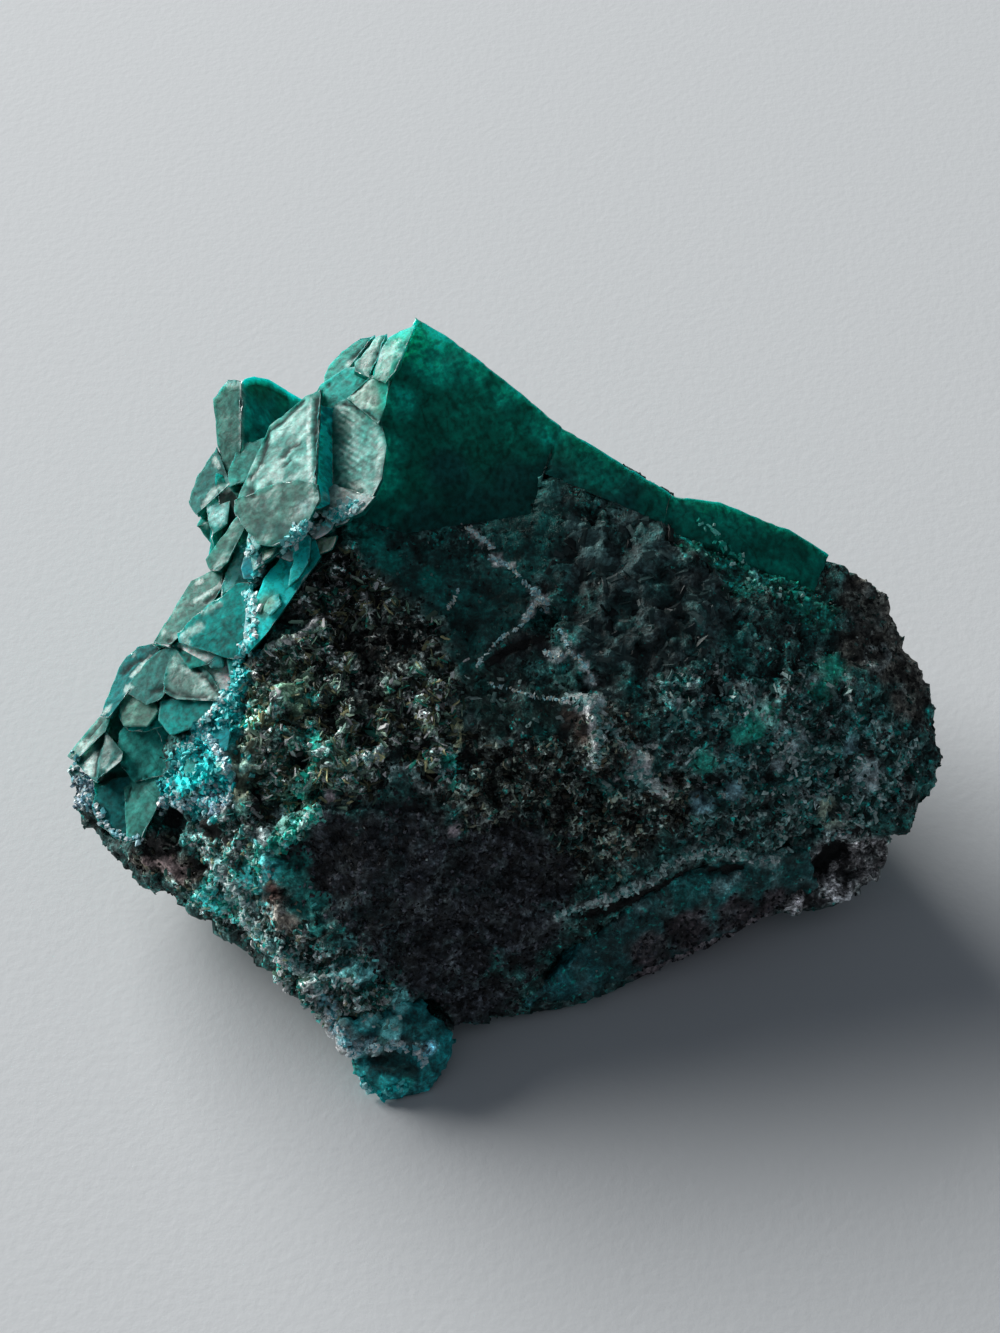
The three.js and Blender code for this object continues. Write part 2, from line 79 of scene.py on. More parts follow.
floorLook = {
    "size": 2.4,
    "color": (0.62, 0.645, 0.665, 1),
    "roughness": 0.85,
    "grain": 1400.0,         # scale, strength and height of the paper's grain
    "bump": 0.12,
    "bumpHeight": 0.2 * mm,
}
windowLight = {              # one large soft window, low behind the stone on the left
    "bearing": 137.0,        # degrees from +X
    "elevation": 24.0,
    "distance": 2.2,
    "width": 2.15,
    "height": 0.77,
    "energy": 101.0,
    "color": (1.0, 0.99, 0.97),
}
roomLight = {"color": (0.80, 0.88, 1.0), "strength": 0.13}


def newMaterial(name):
    material = bpy.data.materials.new(name)
    material.use_nodes = True
    tree = material.node_tree
    tree.nodes.clear()
    output = tree.nodes.new("ShaderNodeOutputMaterial")
    shader = tree.nodes.new("ShaderNodeBsdfPrincipled")
    tree.links.new(shader.outputs["BSDF"], output.inputs["Surface"])
    return material, tree, shader, output


def addNode(tree, kind, inputs=None, **settings):
    # inputs: socket name or number -> value, or the output that feeds it
    node = tree.nodes.new(kind)
    for key, value in settings.items():
        setattr(node, key, value)
    for key, value in (inputs or {}).items():
        if isinstance(value, bpy.types.NodeSocket):
            tree.links.new(value, node.inputs[key])
        else:
            node.inputs[key].default_value = value
    return node


def placeNode(tree):
    return addNode(tree, "ShaderNodeTexCoord").outputs["Object"]


def bumpSurface(tree, shader, height, strength, distance):
    bump = addNode(tree, "ShaderNodeBump", {"Height": height, "Strength": strength, "Distance": distance})
    tree.links.new(bump.outputs["Normal"], shader.inputs["Normal"])


def noiseNode(tree, place, scale, detail=3.0, roughness=0.55):
    return addNode(tree, "ShaderNodeTexNoise",
                   {"Vector": place, "Scale": scale, "Detail": detail, "Roughness": roughness}).outputs["Fac"]


def rangeNode(tree, value, low, high, out0=0.0, out1=1.0, kind="SMOOTHSTEP"):
    return addNode(tree, "ShaderNodeMapRange",
                   {"Value": value, "From Min": low, "From Max": high, "To Min": out0, "To Max": out1},
                   interpolation_type=kind).outputs["Result"]


def mathNode(tree, operation, a, b=0.0, c=0.0):
    return addNode(tree, "ShaderNodeMath", {0: a, 1: b, 2: c}, operation=operation).outputs[0]


def timesNode(tree, a, b):
    return mathNode(tree, "MULTIPLY", a, b)


def mixNode(tree, factor, a, b, blend="MIX"):
    # sockets by number: 0 the factor, 6 and 7 the two colours, output 2 the colour
    return addNode(tree, "ShaderNodeMix", {0: factor, 6: a, 7: b},
                   data_type="RGBA", blend_type=blend).outputs[2]


def shadedNode(tree, color, shade):
    return mixNode(tree, 1.0, color, shade, "MULTIPLY")


def attributeNode(tree, name):
    return addNode(tree, "ShaderNodeAttribute", attribute_name=name).outputs["Color"]


def splitNode(tree, color):
    parts = addNode(tree, "ShaderNodeSeparateColor", {"Color": color}).outputs
    return parts["Red"], parts["Green"], parts["Blue"]


def vectorNode(tree, operation, a, b):
    return addNode(tree, "ShaderNodeVectorMath", {0: a, 1: b}, operation=operation).outputs[0]


def warpedNode(tree, place, scale, amount):
    # the same place, pushed about by soft noise
    cloud = addNode(tree, "ShaderNodeTexNoise", {"Vector": place, "Scale": scale, "Detail": 2.0})
    centred = vectorNode(tree, "SUBTRACT", cloud.outputs["Color"], (0.5, 0.5, 0.5))
    push = addNode(tree, "ShaderNodeVectorMath", {0: centred, "Scale": amount}, operation="SCALE").outputs[0]
    return vectorNode(tree, "ADD", place, push)


def centredNode(tree, value, factor):
    # a noise from 0 to 1, centred on 0
    return mathNode(tree, "MULTIPLY_ADD", value, factor, -factor / 2)


def wallNode(tree, place, scale):
    # distance to the nearest wall of a cell pattern
    return addNode(tree, "ShaderNodeTexVoronoi", {"Vector": place, "Scale": scale},
                   feature="DISTANCE_TO_EDGE").outputs["Distance"]


def coverNode(tree, pattern, amount, soft=0.08):
    # covers as much of the surface with the pattern as the amount says, with a crisp edge
    level = rangeNode(tree, pattern, 0.32, 0.68, kind="LINEAR")
    limit = mathNode(tree, "SUBTRACT", 1.0, amount)
    return rangeNode(tree, mathNode(tree, "SUBTRACT", level, limit), 0.0, soft)


def addFloor():
    mesh = bpy.data.meshes.new("paper")
    half = floorLook["size"] / 2
    corners = [(-half, -half, 0), (half, -half, 0), (half, half, 0), (-half, half, 0)]
    mesh.from_pydata(corners, [], [(0, 1, 2, 3)])
    floor = addObject("paper", mesh)
    material, tree, shader, _ = newMaterial("paper")
    grain = noiseNode(tree, placeNode(tree), floorLook["grain"])
    bumpSurface(tree, shader, grain, floorLook["bump"], floorLook["bumpHeight"])
    shader.inputs["Base Color"].default_value = floorLook["color"]
    shader.inputs["Roughness"].default_value = floorLook["roughness"]
    mesh.materials.append(material)


def windowWay():
    # the way from the stone to the window
    bearing, rise = math.radians(windowLight["bearing"]), math.radians(windowLight["elevation"])
    return Vector((math.cos(bearing) * math.cos(rise), math.sin(bearing) * math.cos(rise), math.sin(rise)))


def addLights():
    light = bpy.data.lights.new("window", "AREA")
    light.shape = "RECTANGLE"
    light.size = windowLight["width"]
    light.size_y = windowLight["height"]
    light.energy = windowLight["energy"]
    light.color = windowLight["color"]
    window = addObject("window", light)
    window.location = windowWay() * windowLight["distance"]
    window.rotation_euler = (-windowWay()).to_track_quat("-Z", "Y").to_euler()
    world = bpy.data.worlds.new("room")
    world.use_nodes = True
    room = world.node_tree.nodes["Background"]
    room.inputs["Color"].default_value = (*roomLight["color"], 1)
    room.inputs["Strength"].default_value = roomLight["strength"]
    bpy.context.scene.world = world
    bpy.context.scene.view_settings.view_transform = "Standard"


addCamera()
addFloor()
addLights()
print("camera, floor and lights placed")


def treeOf(meshes):
    # one search tree over several meshes
    verts, faces = [], []
    for mesh in meshes:
        start = len(verts)
        verts += [v.co.copy() for v in mesh.vertices]
        faces += [[start + i for i in p.vertices] for p in mesh.polygons]
    return BVHTree.FromPolygons(verts, faces)


wholeStone = treeOf([node.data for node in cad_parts.values()])
greenNodes = ["dioptase_crystals", "lower_vein", "foot_crystal"]
greenGrowth = treeOf([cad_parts[name].data for name in greenNodes])
rockWall = treeOf([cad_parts["host_rock"].data])


def sightTo(px, py):
    # the line of sight through a pixel of the picture
    width, height = cameraSetup["pixels"]
    reach = cameraSetup["lens"] / cameraSetup["sensor"] * height
    across, up = (px - width / 2) / reach, (height / 2 - py) / reach
    return (ahead + rightward * across + upward * up).normalized()


def onStone(px, py):
    hit = wholeStone.ray_cast(eye, sightTo(px, py))[0]
    if hit is None:
        hit = wholeStone.find_nearest(eye + sightTo(px, py) * cameraSetup["distance"])[0]
    return hit


def copyNode(name, newName):
    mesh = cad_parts[name].data.copy()
    mesh.name = newName
    mesh.materials.clear()
    return addObject(newName, mesh)


def applyModifiers(piece):
    graph = bpy.context.evaluated_depsgraph_get()
    mesh = bpy.data.meshes.new_from_object(piece.evaluated_get(graph))
    old = piece.data
    piece.modifiers.clear()
    piece.data = mesh
    bpy.data.meshes.remove(old)
    mesh.name = piece.name


def voxelRemesh(piece, size):
    remesh = piece.modifiers.new("remesh", "REMESH")
    remesh.mode = "VOXEL"
    remesh.voxel_size = size
    applyModifiers(piece)


def valuesOf(items, key, kind=float, width=1):
    values = np.empty(len(items) * width, kind)
    items.foreach_get(key, values)
    return values.reshape(-1, width) if width > 1 else values


def cornersOf(mesh):
    points = valuesOf(mesh.vertices, "co", np.float32, 3)
    normals = valuesOf(mesh.vertex_normals, "vector", np.float32, 3)
    return points.astype(float), normals.astype(float)


def setCorners(mesh, points):
    mesh.vertices.foreach_set("co", points.astype(np.float32).ravel())
    mesh.update()


def smoothStep(low, high, value):
    t = np.clip((value - low) / (high - low), 0, 1)
    return t * t * (3 - 2 * t)


def noiseAt(points, size, seed=0.0):
    # soft noise between about -1 and 1, with features of this size
    shift = Vector((seed, seed * 0.7, -seed))
    return np.array([noise.noise(Vector(p) / size + shift) for p in points])


def noiseSum(points, layers):
    # layers: weight, size in mm, seed
    return sum(weight * noiseAt(points, size * mm, seed) for weight, size, seed in layers)


def pushedAbout(points, amount, size, seeds):
    # the same points moved by soft noise; amount and size in mm
    push = np.stack([noiseAt(points, size * mm, seed) for seed in seeds], axis=1)
    return points + amount * mm * push


def brokenAt(points, size, seed=0.0):
    # broken into cells, each a plane with its own tilt: height above the middle and gap to the next cell,
    # both in cell sizes, and a number from 0 to 1 for each cell
    shift = Vector((seed, seed * 0.7, -seed))
    found = [noise.voronoi(Vector(p) / size + shift) for p in points]
    gap = np.array([f[0][1] - f[0][0] for f in found])
    centre = np.array([f[1][0] for f in found])
    own = np.abs(np.modf(np.sin(centre @ np.array((12.99, 78.23, 37.72))) * 4375.85)[0])
    tilt = np.stack([np.sin(own * k) for k in (91.0, 57.0, 133.0)], axis=1)
    height = ((points / size + np.array(shift) - centre) * tilt).sum(axis=1)
    return height, gap, own


def patch(points, spots, waver, soft=0.25):
    # 1 inside any (px, py, radius in mm) spot, 0 outside, with a wavering edge
    best = np.zeros(len(points))
    for px, py, radius in spots:
        away = np.linalg.norm(points - np.array(onStone(px, py)), axis=1) / (radius * mm)
        best = np.maximum(best, smoothStep(1 + soft, 1 - soft, away + waver))
    return best


def alongLine(points, line, width, waver):
    # 1 on a line of pixels laid on the stone, fading out over its width in mm
    stops = np.array([onStone(px, py) for px, py in line])
    nearest = np.full(len(points), 1e9)
    for a, b in zip(stops[:-1], stops[1:]):
        span = b - a
        t = np.clip(((points - a) @ span) / (span @ span), 0, 1)
        nearest = np.minimum(nearest, np.linalg.norm(points - a - t[:, None] * span, axis=1))
    return smoothStep(1.0, 0.3, nearest / (width * mm) + waver)


def seen(color):
    # a colour from 0 to 255 as a screen shows it, in linear light
    shares = [c / 255 for c in color]
    return tuple(s / 12.92 if s <= 0.04045 else ((s + 0.055) / 1.055) ** 2.4 for s in shares)


def inFullLight(color):
    # what a colour noted in the shade of the stone's front is in full light
    return np.minimum(np.array(seen(color)) * shadeLift, 0.9)


def smoothFaces(mesh):
    for face in mesh.polygons:
        face.use_smooth = True


def paintCorners(mesh, name, colors, domain="POINT"):
    layer = mesh.color_attributes.new(name, "FLOAT_COLOR", domain)
    rgba = np.ones((len(colors), 4), np.float32)
    rgba[:, :3] = colors
    layer.data.foreach_set("color", rgba.ravel())


def blended(base, value, weight):
    return base + (np.array(value) - base) * weight[:, None]


# Each kind of surface on the stone: its ground and net colours, how much net, green fleck and pale crust it
# has, how much of it is blotched with teal, black and pale clouds, its pits (darkened with painted shade),
# its gloss, its contrast, how hollowed it is, its relief in mm, and where it shows (pixel, pixel, radius in
# mm).
rockKinds = {
    "darkGreen": {
        "tint": (0.013, 0.088, 0.081), "net": (0.11, 0.264, 0.242), "amounts": (0.35, 0.3, 0.14),
        "blotches": (0.5, 0.6, 0.25), "pits": 0.3, "gloss": 0.4, "contrast": 0.55,
        "hollows": 0.25, "relief": 0.26,
        "spots": []},
    "upperTeal": {
        "tint": (0.004, 0.090, 0.082), "net": (0.02, 0.13, 0.12), "amounts": (0.12, 0.15, 0.0),
        "blotches": (0.2, 0.6, 0.04), "pits": 0.1, "gloss": 0.65, "contrast": 0.25,
        "hollows": 0.0, "relief": 0.16,
        "spots": [(400, 560, 2.6), (440, 600, 3.2), (500, 600, 3), (460, 650, 2.4), (540, 540, 3),
                  (390, 540, 1.6)]},
    "greyPlanes": {
        "tint": (0.028, 0.066, 0.068), "net": (0.08, 0.12, 0.12), "amounts": (0.2, 0.12, 0.03),
        "blotches": (0.25, 0.4, 0.12), "pits": 0.15, "gloss": 0.5, "contrast": 0.35,
        "hollows": 0.15, "relief": 0.3,
        "spots": [(590, 560, 2.6), (640, 600, 3.4), (680, 640, 3), (610, 640, 2.8), (650, 540, 2),
                  (700, 600, 2.6)]},
    "rightMottled": {
        "tint": (0.019, 0.138, 0.134), "net": (0.216, 0.408, 0.408), "amounts": (0.55, 0.4, 0.3),
        "blotches": (0.6, 0.7, 0.6), "pits": 0.35, "gloss": 0.4, "contrast": 0.6,
        "hollows": 0.45, "relief": 0.3,
        "spots": [(700, 710, 3.6), (760, 720, 4), (850, 770, 4.3), (720, 790, 4.3), (800, 720, 4),
                  (640, 800, 2.4), (890, 760, 3), (800, 830, 3), (830, 700, 2.4)]},
    "greenFringe": {
        "tint": (0.0, 0.19, 0.14), "net": (0.03, 0.46, 0.38), "amounts": (0.3, 0.5, 0.06),
        "blotches": (0.2, 0.6, 0.1), "pits": 0.2, "gloss": 0.55, "contrast": 0.5,
        "hollows": 0.2, "relief": 0.2,
        "spots": [(690, 540, 1.2), (725, 555, 1.4), (760, 570, 1.8), (800, 590, 1.8), (820, 610, 1.4),
                  (740, 585, 1.2)]},
    "rusty": {
        "tint": (0.105, 0.105, 0.092), "net": (0.24, 0.26, 0.22), "amounts": (0.35, 0.05, 0.08),
        "blotches": (0.1, 0.6, 0.25), "pits": 0.35, "gloss": 0.25, "contrast": 0.6,
        "hollows": 0.5, "relief": 0.18,
        "spots": [(875, 615, 2.4), (900, 660, 2.4), (858, 595, 1.6), (912, 700, 1.8), (860, 650, 1.6)]},
    "greenBoss": {
        "tint": (0.0, 0.20, 0.15), "net": (0.06, 0.36, 0.32), "amounts": (0.25, 0.35, 0.1),
        "blotches": (0.1, 0.4, 0.15), "pits": 0.1, "gloss": 0.5, "contrast": 0.5,
        "hollows": 0.0, "relief": 0.16,
        "spots": [(828, 668, 1.2), (820, 690, 0.9), (752, 730, 0.9), (770, 712, 0.8)]},
    "brownCentre": {
        "tint": (0.14, 0.165, 0.145), "net": (0.63, 0.756, 0.672), "amounts": (0.5, 0.35, 0.25),
        "blotches": (0.6, 0.6, 0.25), "pits": 0.4, "gloss": 0.3, "contrast": 0.7,
        "hollows": 0.8, "relief": 0.4,
        "spots": [(480, 760, 2.6), (540, 780, 3.4), (600, 740, 2.4), (560, 840, 3.4), (620, 830, 2.6),
                  (670, 800, 2), (500, 820, 2.4), (450, 780, 1.6)]},
    "oliveShelf": {
        "tint": (0.02, 0.062, 0.052), "net": (0.10, 0.17, 0.14), "amounts": (0.25, 0.25, 0.08),
        "blotches": (0.5, 0.4, 0.15), "pits": 0.2, "gloss": 0.4, "contrast": 0.45,
        "hollows": 0.2, "relief": 0.16,
        "spots": [(500, 700, 2.2), (540, 710, 1.8), (470, 690, 1.2), (570, 700, 1.2)]},
    "boxwork": {
        "tint": (0.272, 0.4, 0.352), "net": (0.92, 0.92, 0.92), "amounts": (0.8, 0.3, 0.18),
        "blotches": (0.3, 0.7, 0.3), "pits": 0.42, "gloss": 0.2, "contrast": 1.0,
        "hollows": 0.85, "relief": 0.5,
        "spots": [(340, 560, 1.2), (320, 590, 2), (360, 605, 2.6), (390, 640, 3.4), (330, 680, 4.4),
                  (280, 700, 3.2), (400, 700, 4), (350, 750, 3.2), (425, 740, 2.4), (262, 740, 1.9),
                  (300, 790, 1.8), (275, 800, 1.7)]},
    "darkBoxwork": {
        "tint": (0.10, 0.13, 0.12), "net": (0.55, 0.56, 0.5), "amounts": (0.7, 0.1, 0.08),
        "blotches": (0.1, 0.7, 0.1), "pits": 0.5, "gloss": 0.2, "contrast": 0.9,
        "hollows": 0.9, "relief": 0.5,
        "spots": [(385, 650, 2.4), (408, 640, 1.8), (365, 690, 1.6)]},
    "greenBoxwork": {
        "tint": (0.23, 0.58, 0.46), "net": (0.85, 0.92, 0.92), "amounts": (0.8, 0.5, 0.25),
        "blotches": (0.5, 0.6, 0.3), "pits": 0.3, "gloss": 0.25, "contrast": 0.8,
        "hollows": 0.5, "relief": 0.46,
        "spots": [(262, 745, 2.0), (275, 700, 1.8), (300, 790, 1.8), (270, 800, 1.7), (285, 665, 1.4),
                  (300, 735, 1.7), (310, 700, 1.0), (345, 760, 1.0)]},
    "violet": {
        "tint": (0.030, 0.036, 0.044), "net": (0.10, 0.12, 0.135), "amounts": (0.25, 0.04, 0.05),
        "blotches": (0.1, 0.5, 0.18), "pits": 0.3, "gloss": 0.35, "contrast": 0.6,
        "hollows": 0.3, "relief": 0.2,
        "spots": [(340, 870, 3.2), (400, 870, 4.4), (465, 905, 4.8), (510, 860, 3.4), (440, 960, 3.6),
                  (525, 930, 3), (400, 930, 3.2), (480, 1000, 2.4), (540, 880, 2.6), (330, 840, 1.8),
                  (300, 840, 1.4)]},
    "leftBoxwork": {
        "tint": (0.22, 0.80, 0.75), "net": (0.92, 0.92, 0.92), "amounts": (0.9, 0.5, 0.6),
        "blotches": (0.5, 0.6, 0.5), "pits": 0.35, "gloss": 0.25, "contrast": 1.0,
        "hollows": 0.6, "relief": 0.46,
        "spots": [(215, 850, 2.2), (235, 880, 2.4), (225, 910, 2), (260, 920, 2.6), (290, 950, 2.6),
                  (320, 985, 2.4), (345, 1010, 2.2), (375, 1000, 1.6), (400, 1030, 1.6), (255, 850, 1.8),
                  (350, 960, 1.4), (190, 890, 1.4), (240, 830, 1.4)]},
    "leftBrown": {
        "tint": (0.126, 0.112, 0.097), "net": (0.396, 0.378, 0.324), "amounts": (0.35, 0.1, 0.1),
        "blotches": (0.1, 0.6, 0.2), "pits": 0.5, "gloss": 0.25, "contrast": 0.8,
        "hollows": 0.6, "relief": 0.34,
        "spots": [(160, 858, 1.7), (185, 872, 1.4), (272, 897, 1.1), (296, 915, 0.9), (140, 862, 1)]},
    "ledgeGreen": {
        "tint": (0.0, 0.524, 0.452), "net": (0.333, 0.92, 0.92), "amounts": (0.7, 0.5, 0.3),
        "blotches": (0.2, 0.5, 0.1), "pits": 0.35, "gloss": 0.4, "contrast": 0.9,
        "hollows": 0.6, "relief": 0.36,
        "spots": [(250, 866, 1.0), (262, 852, 0.8), (280, 838, 0.8), (297, 828, 0.9), (312, 812, 0.7),
                  (312, 735, 0.7), (306, 750, 0.5), (452, 768, 0.7), (448, 755, 0.5), (318, 795, 0.5)]},
    "purple": {
        "tint": (0.226, 0.19, 0.205), "net": (0.378, 0.36, 0.378), "amounts": (0.3, 0.03, 0.06),
        "blotches": (0.1, 0.4, 0.15), "pits": 0.25, "gloss": 0.25, "contrast": 0.4,
        "hollows": 0.3, "relief": 0.2,
        "spots": [(690, 945, 3.6), (740, 930, 3), (650, 965, 2.2)]},
    "nub": {
        "tint": (0.356, 0.341, 0.356), "net": (0.81, 0.81, 0.778), "amounts": (0.4, 0.05, 0.2),
        "blotches": (0.05, 0.6, 0.3), "pits": 0.35, "gloss": 0.25, "contrast": 0.8,
        "hollows": 0.5, "relief": 0.3,
        "spots": [(840, 870, 2.8), (862, 850, 2), (800, 895, 2)]},
    "cyan": {
        "tint": (0.0, 0.75, 0.78), "net": (0.25, 0.92, 0.92), "amounts": (0.6, 0.4, 0.25),
        "blotches": (0.1, 0.3, 0.1), "pits": 0.2, "gloss": 0.4, "contrast": 0.7,
        "hollows": 0.35, "relief": 0.3,
        "spots": [(322, 518, 1.1), (245, 640, 1.3), (240, 680, 1), (232, 712, 1.3), (210, 740, 1.6),
                  (190, 765, 1.8), (215, 785, 1.6), (240, 760, 0.9), (170, 785, 1.2), (205, 810, 1.2)]},
    "frosty": {
        "tint": (0.5, 0.78, 0.85), "net": (0.92, 0.92, 0.92), "amounts": (0.6, 0.1, 0.6),
        "blotches": (0.1, 0.4, 0.2), "pits": 0.35, "gloss": 0.3, "contrast": 0.8,
        "hollows": 0.6, "relief": 0.3,
        "spots": [(80, 765, 1.2), (82, 792, 1.3), (160, 800, 0.9), (215, 800, 0.9)]},
    # painted shade: near-black pockets in the stone's hollows
    "hollow": {
        "tint": (0.023, 0.026, 0.026), "net": (0.096, 0.115, 0.096), "amounts": (0.3, 0.05, 0.0),
        "blotches": (0.0, 0.3, 0.0), "pits": 0.8, "gloss": 0.1, "contrast": 0.6,
        "hollows": 0.3, "relief": 0.3,
        "spots": [(175, 818, 0.75), (209, 828, 0.85), (225, 842, 0.5), (258, 803, 0.5), (257, 790, 0.35),
                  (832, 850, 0.8), (205, 866, 0.45)]},
}
# Pale crusts and veins that run across the stone: pixels, width in mm, crust, raised by mm
rockLines = {
    "centreCrust": ([(575, 700), (592, 700), (596, 722), (600, 745), (594, 765)], 0.75, 0.72, 0.25),
    "centreCrust2": ([(606, 722), (622, 740), (640, 752), (655, 745)], 0.55, 0.7, 0.2),
    "brightCrust": ([(632, 772), (650, 778), (662, 788)], 0.8, 0.75, 0.25),
    "rightCrust": ([(735, 685), (752, 700), (770, 715), (782, 735), (790, 760)], 1.0, 0.5, 0.1),
    "rightBranch": ([(770, 690), (800, 690), (820, 675), (818, 655)], 0.5, 0.5, 0.1),
    "rightPale": ([(860, 790), (880, 775), (850, 810), (830, 835)], 1.0, 0.5, 0.12),
    "rightWisp": ([(700, 700), (712, 690)], 0.4, 0.6, 0.1),
    "rightWisps": ([(760, 800), (785, 790), (815, 796), (838, 780)], 0.45, 0.5, 0.1),
    "pitRing": ([(868, 648), (884, 646), (890, 658), (880, 670), (866, 664), (868, 648)], 0.3, 0.5, 0.12),
    "veinEdge": ([(558, 915), (588, 905), (625, 893), (655, 880), (675, 860), (700, 852), (730, 852)], 0.55,
                 0.6, 0.08),
    "veinEdgeRight": ([(735, 848), (752, 860), (770, 862), (785, 850)], 0.6, 0.6, 0.2),
    "rightLip": ([(822, 838), (838, 842), (850, 836), (862, 832)], 0.45, 0.7, 0.2),
    "ledgeCrust": ([(255, 850), (270, 842), (290, 835), (305, 822), (322, 812)], 0.6, 0.7, 0.25),
    "ledgeCrust2": ([(352, 782), (362, 770), (375, 756), (388, 748)], 0.5, 0.85, 0.2),
    "streakA": ([(296, 790), (310, 768), (326, 752)], 0.4, 0.75, 0.2),
    "streakB": ([(336, 784), (346, 772), (352, 758)], 0.35, 0.85, 0.2),
    "rimCrust": ([(395, 768), (415, 765), (432, 757), (448, 745)], 0.4, 0.6, 0.2),
    "cavityRing": ([(418, 763), (436, 761), (446, 775), (438, 790), (420, 788), (412, 774), (418, 763)], 0.3,
                   0.5, 0.15),
    "boxworkLip": ([(252, 652), (275, 645), (300, 636), (312, 628)], 0.45, 0.8, 0.25),
    "turquoiseLip": ([(352, 516), (330, 516), (312, 530), (300, 545)], 0.9, 0.7, 0.2),
    "darkFoot": ([(330, 1015), (355, 1040), (372, 1050)], 0.8, 0.6, 0.2),
    "footRim": ([(345, 1050), (368, 1043), (395, 1042), (425, 1047)], 0.3, 0.5, 0.12),
}
lineColor = (0.52, 0.66, 0.66)
# Deep gaps, darkened with painted shade: pixels, width in mm, depth in mm
rockGaps = {
    "fissure": ([(490, 662), (508, 650), (530, 642), (548, 636)], 0.45, 0.12),
    "underVeinEdge": ([(590, 915), (640, 898), (690, 872), (740, 868)], 0.5, 0.3),
    "boxworkGap": ([(256, 640), (272, 632), (290, 620)], 0.6, 0.5),
    "leftHollow": ([(258, 792), (262, 806), (268, 818)], 0.35, 0.4),
    "cornerHollow": ([(345, 520), (338, 528)], 0.5, 0.5),
    "undercut": ([(150, 850), (172, 846)], 1.0, 0.4),
    "cavity": ([(424, 774), (434, 776)], 0.5, 0.4),
    "nubGap": ([(818, 872), (828, 852), (840, 846)], 0.9, 0.5),
}
